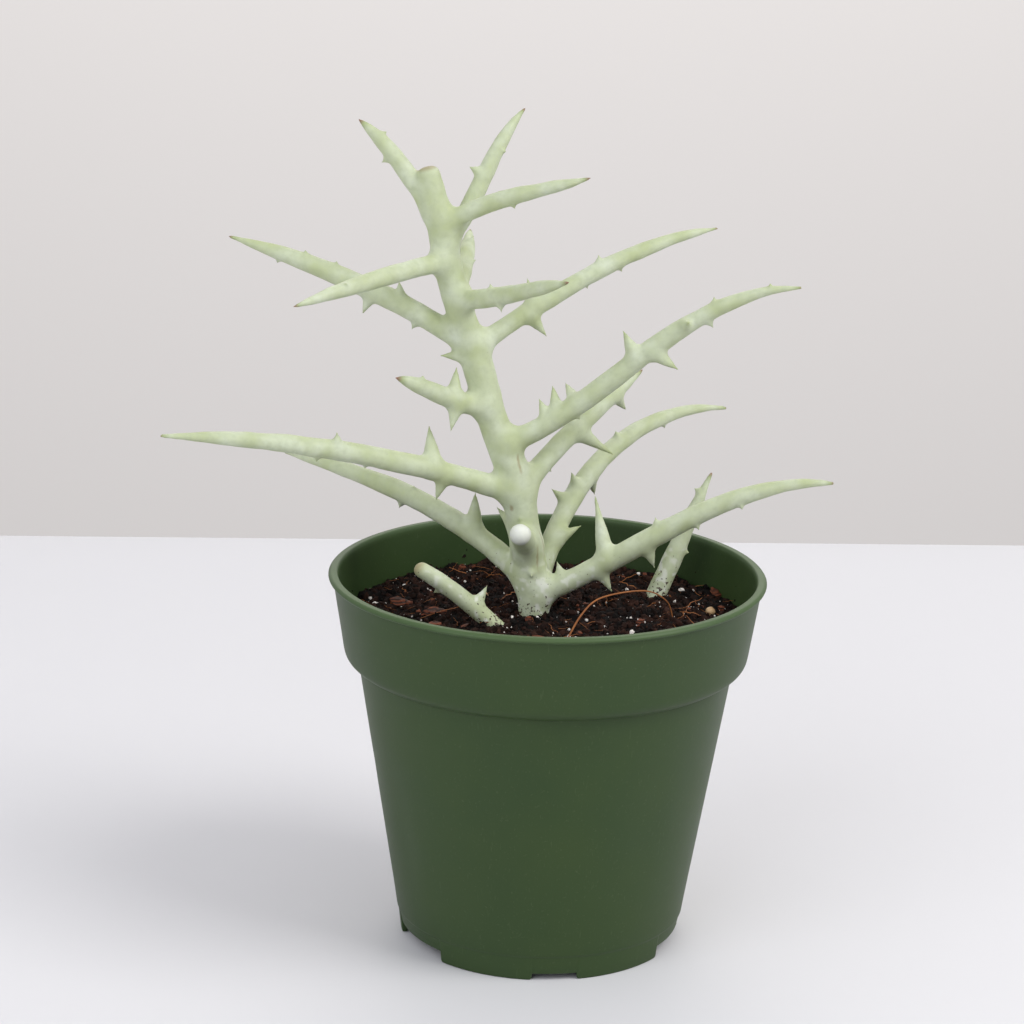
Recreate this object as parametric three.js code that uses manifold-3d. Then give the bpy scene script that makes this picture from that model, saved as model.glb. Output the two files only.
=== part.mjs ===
// Potted silver euphorbia: a leafless, thorny succulent in a round nursery pot.
// Millimetres, +Z up. The origin is the middle of the pot's underside, on the surface it stands on.
// The front faces -Y, so X runs to the right and Y runs to the back.

import * as THREE from 'three';
import { mergeVertices } from 'three/addons/utils/BufferGeometryUtils.js';
import Module from 'manifold-3d';

const wasm = await Module();
wasm.setup();

// ---------------------------------------------------------------- driving dimensions

// Space kept between any two pieces that touch on the real object.
const clearance = 0.3;

// Pot, from the rim down to the foot.
const potHeight = 98.6;
const rimRadius = 57;
const lipReach = 1.4;
const lipHeight = 2.6;
const bandDrop = 20.2;
const bandDrawIn = 2.7;
const shoulderDrop = 3.1;
const shoulderDrawIn = 3.75;
const baseRadius = 36.9;
const footHeight = 7;
const footFlare = 1.1;
const wall = 1.3;

// Rounded shoulder, as [share of its draw-in, share of its drop], going up from the wall.
const shoulderCurve = [[0.5, 0.13], [0.87, 0.5]];

// Rolled lip: shares of its height where the outer face starts and ends, and shares of the reach and of
// the wall that round it off.
const lipFaceFrom = 0.7;
const lipFaceTo = 0.25;
const lipCrown = 0.35;
const lipInnerEdge = 0.7;
const lipInnerDrop = 0.3;

// Underside: a centre pad and a notched foot ring stand on the table, with a raised channel between.
const channelHeight = 3.8;
const padRadius = 14;
const padSlope = 2;
const innerFootInset = 3.5;
const innerFootWidth = 2;
const innerFootArc = 7;
const innerFootOffset = 6.5;

// Drain notches through the foot ring, turned anticlockwise from the front.
const notchAxis = 7;
const wideNotch = { arc: 34, height: 3, hole: 5.5 };
const lowNotch = { arc: 18, height: 1.7, hole: 4 };
const notchDepthInWalls = 2.5;
const holeInsetInWalls = 2;
const notches = [
  { turn: 0, ...lowNotch },
  { turn: 67, ...wideNotch },
  { turn: 120, ...lowNotch },
  { turn: 180, ...wideNotch },
  { turn: 240, ...lowNotch },
  { turn: 293, ...wideNotch },
];

// Soil, filled to a little under the rim.
const soilDrop = 12.6;
const soilMound = 1.6;
const moundShare = 0.6;
const rippleShare = 0.45;
const rippleTurnX = 0.21;
const rippleTurnY = 0.17;
const rippleShiftX = 0.7;
const rippleShiftY = -0.4;

// Main stem: sideways lean at each height above the soil, and its radius there.
const stemBury = 16;
const stemRoute = [
  { height: -stemBury, lean: -4.5, radius: 2.4 },
  { height: -2, lean: -3.5, radius: 3.6 },
  { height: 8, lean: -3.5, radius: 4.5 },
  { height: 22, lean: -6, radius: 4.1 },
  { height: 37, lean: -9, radius: 4.5 },
  { height: 53, lean: -15, radius: 3.8 },
  { height: 68, lean: -19.5, radius: 4 },
  { height: 81, lean: -24, radius: 3.6 },
  { height: 94, lean: -27.5, radius: 3.6 },
  { height: 106, lean: -30, radius: 3.4 },
  { height: 118, lean: -33, radius: 2.9 },
];

// Healed cut at the top: where its rounding starts along the stem, and the share of the radius left.
const stemCapFrom = 0.985;
const stemCapShare = 0.7;

// Thorns straight on the main stem: height above the soil, compass turn, climb and length.
const stemThorns = [
  { height: 15, azimuth: -84, climb: -25, length: 1.8 },
  { height: 25, azimuth: -104, climb: 35, length: 1.6 },
  { height: 21, azimuth: 150, climb: 38, length: 7.5 },
  { height: 68.5, azimuth: -166, climb: 3, length: 5.2 },
];

// Thorn shape: its foot's radius, held under a share of the branch's, then the shares of the foot and of
// the length at its waist and at its neck.
const thornFootMost = 0.82;
const thornFootLeast = 0.55;
const thornFootPerLength = 0.2;
const thornSkirt = 0.72;
const thornWaist = { foot: 0.6, length: 0.14 };
const thornNeck = { foot: 0.3, length: 0.52 };

// Side branches. Each leaves the middle of the main stem at a height above the soil and walks outwards:
// its azimuth turns from the first value to the second, and its rise goes through the three values.
// A thorn is [share of the way along, turn about the branch, length, lean towards the tip]. Turn 0 is
// the upper side, and turn 90 is the right-hand side, looking outwards.
const branches = [
  {
    name: 'top_left_branch', height: 105.4, azimuth: [168, 168], rise: [51, 50, 36], length: 32, radius: 2.4,
    thorns: [[0.6, 180, 1.8, 0.1], [0.78, 0, 1.2, -0.2]],
  },
  {
    name: 'top_front_branch', height: 102.5, azimuth: [-13, -13], rise: [38, 18, 19], length: 42, radius: 2.2,
    thorns: [[0.48, 165, 1.1, 0.1]],
  },
  {
    name: 'top_back_branch', height: 98, azimuth: [36, 38], rise: [42, 60, 38], length: 42, radius: 2.25,
    thorns: [[0.5, -20, 2.6, 0], [0.66, 110, 0.9, 0.2]],
  },
  {
    name: 'rear_upper_branch', height: 85, azimuth: [82, 88], rise: [24, 22, 20], length: 32, radius: 2.4,
    thorns: [[0.45, 70, 1.2, 0.2], [0.72, 30, 1.6, 0.3]],
  },
  {
    name: 'upper_front_left_branch', height: 94, azimuth: [-136, -133], rise: [-2, -6, -8], length: 52,
    radius: 2.35, thorns: [[0.4, 100, 0.9, 0.2], [0.66, -40, 0.8, 0.2]],
  },
  {
    name: 'upper_front_right_branch', height: 84, azimuth: [-46, -47], rise: [9, 17, 16], length: 43,
    radius: 2.4, thorns: [[0.32, 0, 1.2, 0], [0.38, 170, 1.8, 0.1]],
  },
  {
    name: 'upper_left_branch', height: 72.4, azimuth: [172, 173], rise: [31, 21, 14], length: 69,
    radius: 2.75,
    thorns: [
      [0.22, 180, 2, 0.1], [0.3, -15, 3.8, 0.5], [0.42, 180, 4.2, 0],
      [0.56, 0, 1, 0.3], [0.68, -10, 1.2, 0.4], [0.79, 180, 1, 0.1],
    ],
  },
  {
    name: 'upper_right_branch', height: 71.4, azimuth: [19, 16], rise: [32, 26, 7], length: 73,
    radius: 2.35,
    thorns: [
      [0.23, 180, 6.4, 0.15], [0.27, -20, 5.8, 0.3], [0.46, -160, 1.5, 0],
      [0.53, 0, 1.8, 0.3], [0.6, -170, 1.5, 0.1],
    ],
  },
  {
    name: 'middle_left_branch', height: 56.5, azimuth: [-148, -147], rise: [5, 25, 18], length: 30,
    radius: 2.6, thorns: [[0.36, 10, 6, 0.2], [0.33, -165, 5.6, 0], [0.72, 0, 1, 0.3]],
  },
  {
    name: 'long_right_branch', height: 46.5, azimuth: [-9, -8], rise: [22, 40, 2], length: 90, radius: 2.65,
    thorns: [
      [0.15, -10, 4.2, 0.15], [0.19, -25, 6, 0.3], [0.25, -50, 6.4, -0.1], [0.24, 170, 1, 0],
      [0.47, 15, 6.6, 0.3], [0.52, 170, 6.2, 0.35], [0.63, 80, 3.8, 0.5], [0.7, 180, 2, 0.1],
      [0.73, -10, 1.4, 0.4], [0.9, 0, 0.8, 0.1],
    ],
  },
  {
    name: 'middle_back_branch', height: 33, azimuth: [36, 40], rise: [50, 33, 30], length: 50,
    radius: 2.7,
    thorns: [[0.22, 170, 0.9, 0], [0.37, -160, 0.8, 0.5], [0.47, 160, 10.2, 0.35], [0.77, -170, 5.6, 0.3]],
  },
  {
    name: 'long_left_branch', height: 33.4, azimuth: [-162, -164], rise: [21, 12, 3], length: 97,
    radius: 2.75,
    thorns: [
      [0.25, 20, 8.6, 0.3], [0.22, 180, 5, 0], [0.43, 180, 1, 0],
      [0.52, -15, 2.8, 0.3], [0.57, 180, 1.2, 0],
    ],
  },
  {
    name: 'low_front_stub', height: 18.5, azimuth: [-98, -99], rise: [34, 30, 26], length: 18, radius: 3.1,
    blunt: true, thorns: [],
  },
  {
    name: 'low_left_branch', height: 8.4, azimuth: [157, 160], rise: [42, 19, 7], length: 80, radius: 2.9,
    thorns: [[0.26, 0, 8.4, 0.5], [0.5, -10, 1, 0.3], [0.53, 180, 2.2, 0.1]],
  },
  {
    name: 'low_right_branch', height: 6.4, azimuth: [-9, -8], rise: [23, 31, -1], length: 86, radius: 2.8,
    thorns: [
      [0.1, -10, 3.2, 0.1], [0.25, -15, 14.6, 0.3], [0.22, 180, 5, 0], [0.38, 180, 4.8, -0.2],
      [0.43, 0, 1.8, 0.3], [0.55, 160, 1.3, 0], [0.7, 150, 1.2, 0],
    ],
  },
  {
    name: 'low_back_branch', height: 5, azimuth: [70, 26], rise: [57, 29, -9], length: 91, radius: 2.6,
    thorns: [
      [0.18, 90, 6.4, 0.9], [0.32, -35, 3.8, 0], [0.36, 0, 3.8, 0.15], [0.43, 180, 4.4, -0.2],
      [0.5, 180, 1, 0], [0.58, 0, 1.8, -0.1], [0.75, 170, 1, 0.2],
    ],
  },
];

// Shoots that come out of the soil by themselves, by the place and height of their buried end.
const shootBury = 13;
const shoots = [
  {
    name: 'back_right_shoot', x: 22.5, y: 18.4, azimuth: [30, 28], rise: [58, 64, 62], length: 52,
    radius: 2.65, thorns: [[0.55, 150, 1.2, 0.2], [0.86, -30, 1.4, 0.2]],
  },
  {
    name: 'front_left_shoot', x: -1, y: -7.2, azimuth: [-174, -177], rise: [47, 43, 28], length: 44.5,
    radius: 2.5, blunt: true, thorns: [[0.56, 15, 4.6, 0.2], [0.78, 150, 2.4, 0.2]],
  },
];

// Loose pieces lying half sunk in the soil: middle of each, its size and its turn.
const pebbles = [
  { name: 'pebble_left', x: -17, y: 15, size: [3.4, 2.9, 2.5], turn: 20 },
  { name: 'pebble_right', x: 43, y: 8, size: [3.2, 2.7, 2.6], turn: 60 },
];
const perliteGrains = [
  { name: 'perlite_grain_left', x: -45, y: 7, size: [2.3, 2, 1.9], turn: 35 },
  { name: 'perlite_grain_front', x: 22, y: -14, size: [2.1, 1.8, 1.7], turn: 80 },
  { name: 'perlite_grain_right', x: 36, y: 27, size: [2.2, 2, 1.8], turn: 10 },
];
const barkChips = [
  { name: 'bark_chip_large', x: -29, y: -2, size: [6.8, 4.2, 3], turn: 25 },
  { name: 'bark_chip_small', x: -37, y: 8, size: [4.6, 3, 2.2], turn: -40 },
  { name: 'bark_chip_back', x: -26, y: 26, size: [5.2, 3.2, 2.4], turn: 70 },
];

// How far a loose piece sits up in the soil as a share of its height, and tips as a share of its turn.
const lumpLift = 0.15;
const lumpTip = 1 / 3;

// Root fibres lying on the soil, as [x, y, height above the soil].
const fibreRadius = 0.4;
const rootFibres = [
  {
    name: 'root_fibre_long',
    route: [[5, -22, 0.6], [9, -18, 7], [14, -13, 10], [25, -6, 10], [31, -3, 6.5], [33, -1, 1]],
  },
  {
    name: 'root_fibre_short',
    route: [[-50, -4, 0.8], [-45, -2, 1.5], [-40, -5, 1.2], [-36, -9, 0.7]],
  },
];

// ---------------------------------------------------------------- small helpers

const upright = new THREE.Vector3(0, 0, 1);
const backward = new THREE.Vector3(0, 1, 0);
const radians = THREE.MathUtils.degToRad;
const lerp = THREE.MathUtils.lerp;

// Unit vector from a compass turn and a climb, both in degrees.
function heading(azimuth, climb) {
  const flat = Math.cos(radians(climb));
  const a = radians(azimuth);
  return new THREE.Vector3(flat * Math.cos(a), flat * Math.sin(a), Math.sin(radians(climb)));
}

// Six times the signed volume that a triangle list encloses.
function signedVolume(position, index) {
  const corners = [new THREE.Vector3(), new THREE.Vector3(), new THREE.Vector3()];
  let sum = 0;
  for (let i = 0; i < index.length; i += 3) {
    corners.forEach((corner, k) => corner.fromBufferAttribute(position, index[i + k]));
    sum += corners[0].dot(corners[1].clone().cross(corners[2]));
  }
  return sum;
}

// Turn a three.js geometry into a solid that can be joined and cut, with its faces pointing out.
function solidOf(source) {
  const geometry = source.clone();
  geometry.deleteAttribute('normal');
  geometry.deleteAttribute('uv');
  const merged = mergeVertices(geometry, 1e-4);
  const index = Array.from(merged.index.array);
  const kept = [];
  for (let i = 0; i < index.length; i += 3) {
    const [a, b, c] = index.slice(i, i + 3);
    if (a !== b && b !== c && c !== a) kept.push(a, b, c);
  }
  if (signedVolume(merged.attributes.position, kept) < 0) kept.reverse();
  return new wasm.Manifold(new wasm.Mesh({
    numProp: 3,
    vertProperties: new Float32Array(merged.attributes.position.array),
    triVerts: new Uint32Array(kept),
  }));
}

// Turn a solid back into a three.js geometry.
function geometryOf(solid) {
  const mesh = solid.getMesh();
  const geometry = new THREE.BufferGeometry();
  geometry.setAttribute('position', new THREE.BufferAttribute(mesh.vertProperties, 3));
  geometry.setIndex(new THREE.BufferAttribute(mesh.triVerts, 1));
  geometry.computeVertexNormals();
  return geometry;
}

// The largest of the separate bodies in a solid.
function largestOf(solid) {
  return solid.decompose().reduce((a, b) => (a.volume() > b.volume() ? a : b));
}

// Revolve [radius, height] points about Z.
function revolve(points, sides) {
  const geometry = new THREE.LatheGeometry(points.map(([r, z]) => new THREE.Vector2(r, z)), sides);
  return geometry.rotateX(Math.PI / 2);
}

// Solid piece of a ring between two radii and two heights, centred on a turn from the front.
function ringSector(inner, outer, bottom, top, turn, arc) {
  const from = radians(turn - 90 - arc / 2);
  const to = radians(turn - 90 + arc / 2);
  const outline = new THREE.Shape();
  outline.absarc(0, 0, outer, from, to, false);
  outline.absarc(0, 0, inner, to, from, true);
  const geometry = new THREE.ExtrudeGeometry(outline, {
    depth: top - bottom, bevelEnabled: false, curveSegments: 4,
  });
  return solidOf(geometry.translate(0, 0, bottom));
}

// ---------------------------------------------------------------- materials

const finish = (color, roughness) => new THREE.MeshStandardMaterial({ color, roughness, metalness: 0 });
const potPlastic = finish('#42583a', 0.45);
const pottingMix = finish('#2a1b16', 0.95);
const waxyStem = finish('#b7c6a2', 0.7);
const tanPebble = finish('#b98f66', 0.8);
const perlite = finish('#e6e0da', 0.9);
const bark = finish('#6d3a24', 0.9);
const rootFibre = finish('#9a5636', 0.8);

// ---------------------------------------------------------------- pot

const shoulderTop = potHeight - bandDrop;
const shoulderBottom = shoulderTop - shoulderDrop;
const bandTopRadius = rimRadius - lipReach;
const bandBottomRadius = bandTopRadius - bandDrawIn;
const wallTopRadius = bandBottomRadius - shoulderDrawIn;
const footTopRadius = baseRadius + footFlare;
const floorTop = channelHeight + wall;
const soilLevel = potHeight - soilDrop;

// Outline of the pot's outer face from the foot to the underside of the lip, as [radius, height].
const outerFace = [
  [baseRadius, 0],
  [footTopRadius, footHeight],
  [wallTopRadius, shoulderBottom],
  ...shoulderCurve.map(([draw, drop]) => (
    [wallTopRadius + shoulderDrawIn * draw, shoulderBottom + shoulderDrop * drop]
  )),
  [bandBottomRadius, shoulderTop],
  [bandTopRadius, potHeight - lipHeight],
];

// Outer radius of the pot's wall at a height.
function outerRadiusAt(height) {
  const above = outerFace.findIndex(([, z]) => z >= height);
  if (above < 1) return above === 0 ? outerFace[0][0] : bandTopRadius;
  const [r0, z0] = outerFace[above - 1];
  const [r1, z1] = outerFace[above];
  return lerp(r0, r1, (height - z0) / (z1 - z0));
}

const potSides = 48;

// A point of the outer face moved inwards. The shoulder runs almost level, so its points move up as well.
function inwards([r, z], inset) {
  const onShoulder = z >= shoulderBottom && z <= shoulderTop;
  return [r - inset, onShoulder ? z + inset : z];
}

function makePot() {
  const innerFace = outerFace
    .filter(([, z]) => z > floorTop)
    .map((point) => inwards(point, wall))
    .reverse();
  const profile = [
    [0, 0],
    [padRadius, 0],
    [padRadius + padSlope, channelHeight],
    [outerRadiusAt(channelHeight) - wall, channelHeight],
    [baseRadius - wall, 0],
    ...outerFace,
    [rimRadius, potHeight - lipHeight * lipFaceFrom],
    [rimRadius, potHeight - lipHeight * lipFaceTo],
    [rimRadius - lipReach * lipCrown, potHeight],
    [bandTopRadius - wall * lipInnerEdge, potHeight],
    [bandTopRadius - wall, potHeight - lipHeight * lipInnerDrop],
    ...innerFace,
    [outerRadiusAt(floorTop) - wall, floorTop],
    [padRadius + padSlope - wall, floorTop],
    [padRadius - wall, wall],
    [0, wall],
  ];
  let pot = solidOf(revolve(profile, potSides));
  const reach = footTopRadius + wall;
  const notchInner = baseRadius - wall * notchDepthInWalls;
  const holeOuter = baseRadius - wall * holeInsetInWalls;
  for (const notch of notches) {
    const turn = notchAxis + notch.turn;
    const holeInner = holeOuter - notch.hole;
    const holeTop = floorTop + wall;
    pot = pot.subtract(ringSector(notchInner, reach, -wall, notch.height, turn, notch.arc));
    pot = pot.subtract(ringSector(holeInner, holeOuter, channelHeight / 2, holeTop, turn, notch.arc / 2));
  }
  for (const notch of notches.filter(({ hole }) => hole === wideNotch.hole)) {
    for (const side of [-1, 1]) {
      const turn = notchAxis + notch.turn + side * (innerFootOffset + notch.arc / 4);
      const outer = baseRadius - innerFootInset;
      const top = channelHeight + wall / 2;
      pot = pot.add(ringSector(outer - innerFootWidth, outer, 0, top, turn, innerFootArc));
    }
  }
  return pot;
}

// ---------------------------------------------------------------- stems

// Share of the branch radius at each share of the way along: a flared collar, an even shaft and a
// long drawn-out point.
const spearTaper = [
  [0, 1.25], [0.06, 1.08], [0.14, 1], [0.36, 1], [0.58, 0.92], [0.76, 0.74], [0.88, 0.5], [0.96, 0.22],
];
const bluntTaper = [[0, 1.25], [0.1, 1.06], [0.25, 1], [0.6, 0.95], [0.85, 0.86], [0.96, 0.6]];
const branchSides = 8;
const stemSides = 12;
const thornSides = 5;
const pathSteps = 12;
const heightSamples = 400;

// Straight path with even turns: the azimuth runs between two values and the rise through three.
function growPath(start, { azimuth, rise, length }) {
  const points = [start.clone()];
  for (let i = 0; i < pathSteps; i += 1) {
    const t = (i + 0.5) / pathSteps;
    const climb = rise[0] * (1 - t) * (1 - 2 * t) + rise[1] * 4 * t * (1 - t) + rise[2] * t * (2 * t - 1);
    const step = heading(lerp(azimuth[0], azimuth[1], t), climb).multiplyScalar(length / pathSteps);
    points.push(points[i].clone().add(step));
  }
  return new THREE.CatmullRomCurve3(points);
}

// Place on a path, with the directions along it, out of its right-hand side and out of its top.
function frameOn(path, share, reference) {
  const along = path.getTangentAt(share);
  const side = along.clone().cross(reference).normalize();
  const top = side.clone().cross(along);
  return { point: path.getPointAt(share), along, side, top };
}

// Bend a round bar, given as [share of the way along, radius], onto a path.
function bendBar(path, taper, sides, reference) {
  const profile = [[0, 0], ...taper.map(([share, radius]) => [radius, share]), [0, 1]];
  const bar = new THREE.LatheGeometry(profile.map(([r, share]) => new THREE.Vector2(r, share)), sides);
  const position = bar.attributes.position;
  for (let i = 0; i < position.count; i += 1) {
    const frame = frameOn(path, THREE.MathUtils.clamp(position.getY(i), 0, 1), reference);
    const place = frame.point
      .addScaledVector(frame.side, position.getX(i))
      .addScaledVector(frame.top, position.getZ(i));
    position.setXYZ(i, place.x, place.y, place.z);
  }
  return solidOf(bar);
}

// Thorn with a flared foot, standing on a bar of the given radius, and grown by an allowance.
function makeThorn(root, direction, barRadius, length, growth) {
  const foot = Math.min(barRadius * thornFootMost, thornFootLeast + length * thornFootPerLength);
  const profile = [
    [0, 0],
    [foot + growth, 0],
    [foot + growth, barRadius * thornSkirt],
    [foot * thornWaist.foot + growth, barRadius + length * thornWaist.length],
    [foot * thornNeck.foot + growth, barRadius + length * thornNeck.length],
    [0, barRadius + length + growth * 2],
  ];
  const spike = new THREE.LatheGeometry(profile.map(([r, y]) => new THREE.Vector2(r, y)), thornSides);
  const turn = new THREE.Quaternion().setFromUnitVectors(backward, direction.clone().normalize());
  return solidOf(spike.applyQuaternion(turn).translate(root.x, root.y, root.z));
}

// Radius of a taper at a share of the way along.
function radiusOn(taper, share) {
  const next = taper.findIndex(([s]) => s >= share);
  if (next < 0) return 0;
  if (next === 0) return taper[0][1];
  const [s0, r0] = taper[next - 1];
  const [s1, r1] = taper[next];
  return lerp(r0, r1, (share - s0) / (s1 - s0));
}

// A branch or shoot with its thorns, grown by an allowance on every side.
function makeBranch(spec, start, growth) {
  const path = growPath(start, spec);
  const taper = (spec.blunt ? bluntTaper : spearTaper).map(([s, share]) => [s, share * spec.radius]);
  let solid = bendBar(path, taper.map(([s, r]) => [s, r + growth]), branchSides, upright);
  for (const [share, turn, length, lean] of spec.thorns) {
    const frame = frameOn(path, share, upright);
    const out = frame.top.multiplyScalar(Math.cos(radians(turn)))
      .addScaledVector(frame.side, Math.sin(radians(turn)))
      .addScaledVector(frame.along, lean);
    solid = solid.add(makeThorn(frame.point, out, radiusOn(taper, share), length, growth));
  }
  return solid;
}

// A stem as it is, and the room that its neighbours leave for it.
function withRoom(name, make) {
  return { name, solid: make(0), room: make(clearance) };
}

const stemPoints = stemRoute.map(({ height, lean }) => new THREE.Vector3(lean, 0, soilLevel + height));
const stemPath = new THREE.CatmullRomCurve3(stemPoints);

// Share of the way along the main stem at a height above the soil.
function stemShareAt(height) {
  for (let i = 0; i <= heightSamples; i += 1) {
    if (stemPath.getPointAt(i / heightSamples).z >= soilLevel + height) return i / heightSamples;
  }
  return 1;
}

function makeMainStem(growth) {
  const taper = stemRoute.map(({ height, radius }) => [stemShareAt(height), radius]);
  const tipRadius = taper.at(-1)[1];
  const rounded = [...taper.slice(0, -1), [stemCapFrom, tipRadius], [1, tipRadius * stemCapShare]];
  let solid = bendBar(stemPath, rounded.map(([s, r]) => [s, r + growth]), stemSides, backward);
  for (const { height, azimuth, climb, length } of stemThorns) {
    const share = stemShareAt(height);
    const root = stemPath.getPointAt(share);
    const out = heading(azimuth, climb);
    solid = solid.add(makeThorn(root, out, radiusOn(rounded, share), length, growth));
  }
  return solid;
}

// ---------------------------------------------------------------- soil and what lies on it

// Low mound towards the stem, with shallow hollows and humps.
function soilRise(x, y) {
  const reach = Math.hypot(x, y) / bandBottomRadius;
  const ripple = Math.sin(x * rippleTurnX + rippleShiftX) * Math.cos(y * rippleTurnY + rippleShiftY);
  return soilMound * ((1 - reach) * moundShare + rippleShare * ripple * (1 - reach * moundShare));
}

const soilSides = 36;
const soilRings = [0.86, 0.7, 0.54, 0.38, 0.22, 0.1];

function makeSoilBody() {
  const inset = wall + clearance;
  const side = outerFace
    .filter(([, z]) => z > floorTop + clearance && z < soilLevel)
    .map((point) => inwards(point, inset));
  const topRadius = outerRadiusAt(soilLevel) - inset;
  const profile = [
    [0, wall + clearance],
    [padRadius - inset, wall + clearance],
    [padRadius + padSlope - inset, floorTop + clearance],
    [outerRadiusAt(floorTop) - inset, floorTop + clearance],
    ...side,
    [topRadius, soilLevel],
    ...soilRings.map((share) => [topRadius * share, soilLevel]),
    [0, soilLevel],
  ];
  const body = revolve(profile, soilSides);
  const position = body.attributes.position;
  for (let i = 0; i < position.count; i += 1) {
    if (position.getZ(i) < soilLevel - 1e-3) continue;
    position.setZ(i, soilLevel + soilRise(position.getX(i), position.getY(i)));
  }
  return solidOf(body);
}

// Lump from a faceted ball, pressed flatter or squarer, and grown by an allowance on every side.
function makeLump({ x, y, size, turn }, detail, growth) {
  const ball = new THREE.IcosahedronGeometry(1, detail);
  const half = size.map((full) => full / 2 + growth);
  ball.scale(half[0], half[1], half[2]).rotateX(radians(turn * lumpTip)).rotateZ(radians(turn));
  return solidOf(ball.translate(x, y, soilLevel + soilRise(x, y) + size[2] * lumpLift));
}

const fibreSteps = 12;
const fibreSegments = 3;

function makeFibre({ route }) {
  const path = new THREE.CatmullRomCurve3(
    route.map(([x, y, up]) => new THREE.Vector3(x, y, soilLevel + soilRise(x, y) + up)),
  );
  const section = new THREE.Shape();
  section.absarc(0, 0, fibreRadius, 0, Math.PI * 2, false);
  return solidOf(new THREE.ExtrudeGeometry(section, {
    steps: fibreSteps, bevelEnabled: false, extrudePath: path, curveSegments: fibreSegments,
  }));
}

// ---------------------------------------------------------------- assembly

const plant = new THREE.Group();

function addPart(name, solid, material) {
  const mesh = new THREE.Mesh(geometryOf(solid), material);
  mesh.name = name;
  plant.add(mesh);
}

const mainStem = withRoom('main_stem', makeMainStem);
const grownBranches = branches.map((spec) => {
  const start = stemPath.getPointAt(stemShareAt(spec.height));
  return withRoom(spec.name, (growth) => makeBranch(spec, start, growth));
});
const grownShoots = shoots.map((spec) => {
  const start = new THREE.Vector3(spec.x, spec.y, soilLevel - shootBury);
  return withRoom(spec.name, (growth) => makeBranch(spec, start, growth));
});

addPart('nursery_pot', makePot(), potPlastic);
addPart('main_stem', mainStem.solid, waxyStem);

// A branch gives way to the main stem and to every branch that is listed before it, and what a cut
// leaves loose inside its neighbour's room is dropped.
grownBranches.forEach((branch, i) => {
  let solid = branch.solid.subtract(mainStem.room);
  for (const earlier of grownBranches.slice(0, i)) solid = solid.subtract(earlier.room);
  addPart(branch.name, largestOf(solid), waxyStem);
});
grownShoots.forEach((shoot) => addPart(shoot.name, shoot.solid, waxyStem));

// Loose pieces, each in a socket of its own in the soil.
let soil = makeSoilBody();
for (const { room } of [mainStem, ...grownShoots]) soil = soil.subtract(room);
const lumps = [[pebbles, tanPebble, 1], [perliteGrains, perlite, 0], [barkChips, bark, 0]];
for (const [pieces, material, detail] of lumps) {
  for (const piece of pieces) {
    addPart(piece.name, makeLump(piece, detail, 0), material);
    soil = soil.subtract(makeLump(piece, detail, clearance));
  }
}
for (const fibre of rootFibres) addPart(fibre.name, makeFibre(fibre), rootFibre);
addPart('potting_soil', soil, pottingMix);

export default plant;
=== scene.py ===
# %% [markdown]
# # A potted silver euphorbia
# A leafless, thorny succulent in a green nursery pot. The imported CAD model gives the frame: where every
# stem, the soil and the pot stand, in metres. This file builds the finished surfaces around that frame.
# The stems are one continuous living skin, so they are grown as a distance field and parted afterwards.

# %% Load the frame
import math
import bmesh
import bpy
import numpy as np
from mathutils import Matrix, Vector


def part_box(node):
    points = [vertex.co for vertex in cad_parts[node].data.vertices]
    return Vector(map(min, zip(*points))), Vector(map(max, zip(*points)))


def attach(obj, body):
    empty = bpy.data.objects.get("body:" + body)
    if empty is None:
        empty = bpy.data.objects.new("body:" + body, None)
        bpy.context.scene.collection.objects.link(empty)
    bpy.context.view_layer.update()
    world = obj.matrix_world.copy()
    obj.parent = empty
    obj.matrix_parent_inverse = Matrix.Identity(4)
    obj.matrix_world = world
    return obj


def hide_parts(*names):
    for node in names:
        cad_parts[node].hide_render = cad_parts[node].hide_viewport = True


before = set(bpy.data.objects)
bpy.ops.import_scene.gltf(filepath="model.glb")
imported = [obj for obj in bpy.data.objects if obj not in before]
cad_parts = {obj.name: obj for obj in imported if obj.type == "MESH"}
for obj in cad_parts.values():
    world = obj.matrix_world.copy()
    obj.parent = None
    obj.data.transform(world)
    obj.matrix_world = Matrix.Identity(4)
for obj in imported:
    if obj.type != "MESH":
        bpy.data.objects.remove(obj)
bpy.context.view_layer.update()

# %% [markdown]
# ## Units and helpers
# Blender works in metres, and a plant is easier to think about in millimetres. Every length below is in
# millimetres, and one function turns finished vertices into metres. A second one adds a node to any node
# tree and sets or links its inputs, which keeps the material and geometry trees short to read.

# %% Lengths, colours, nodes and meshes
MM = 0.001
# Seeded noise looks its values up in a table, in cells that start well away from the origin.
LUMP_TABLE, LUMP_SHIFT = 4096, 211.0


def linear(code):
    """Linear RGBA for an sRGB hex colour."""
    parts = [int(code[i:i + 2], 16) / 255 for i in (1, 3, 5)]
    return [p / 12.92 if p <= 0.04045 else ((p + 0.055) / 1.055) ** 2.4 for p in parts] + [1.0]


def add(tree, kind, settings=None, inputs=None):
    """Add one node, with its settings, and set or link its inputs."""
    node = tree.nodes.new(kind)
    for name, value in (settings or {}).items():
        setattr(node, name, value)
    for key, value in (inputs or {}).items():
        if isinstance(value, bpy.types.NodeSocket):
            tree.links.new(value, node.inputs[key])
        else:
            node.inputs[key].default_value = value
    return node


def make_piece(name, points, faces, material):
    """A mesh object at the origin, from points in millimetres."""
    mesh = bpy.data.meshes.new(name)
    mesh.from_pydata((np.asarray(points, float) * MM).tolist(), [], [list(map(int, f)) for f in faces])
    mesh.validate()
    mesh.shade_smooth()
    mesh.materials.append(material)
    piece = bpy.data.objects.new(name, mesh)
    bpy.context.scene.collection.objects.link(piece)
    return piece


def settle(piece, slot, *nodes):
    """Fix a finished piece to the plant's one body, and hide the frame nodes that it replaces. The slot is
    not used.
    """
    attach(piece, "root")
    if nodes:
        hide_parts(*nodes)
    print(f"{piece.name}: {len(piece.data.polygons)} faces")


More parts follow.
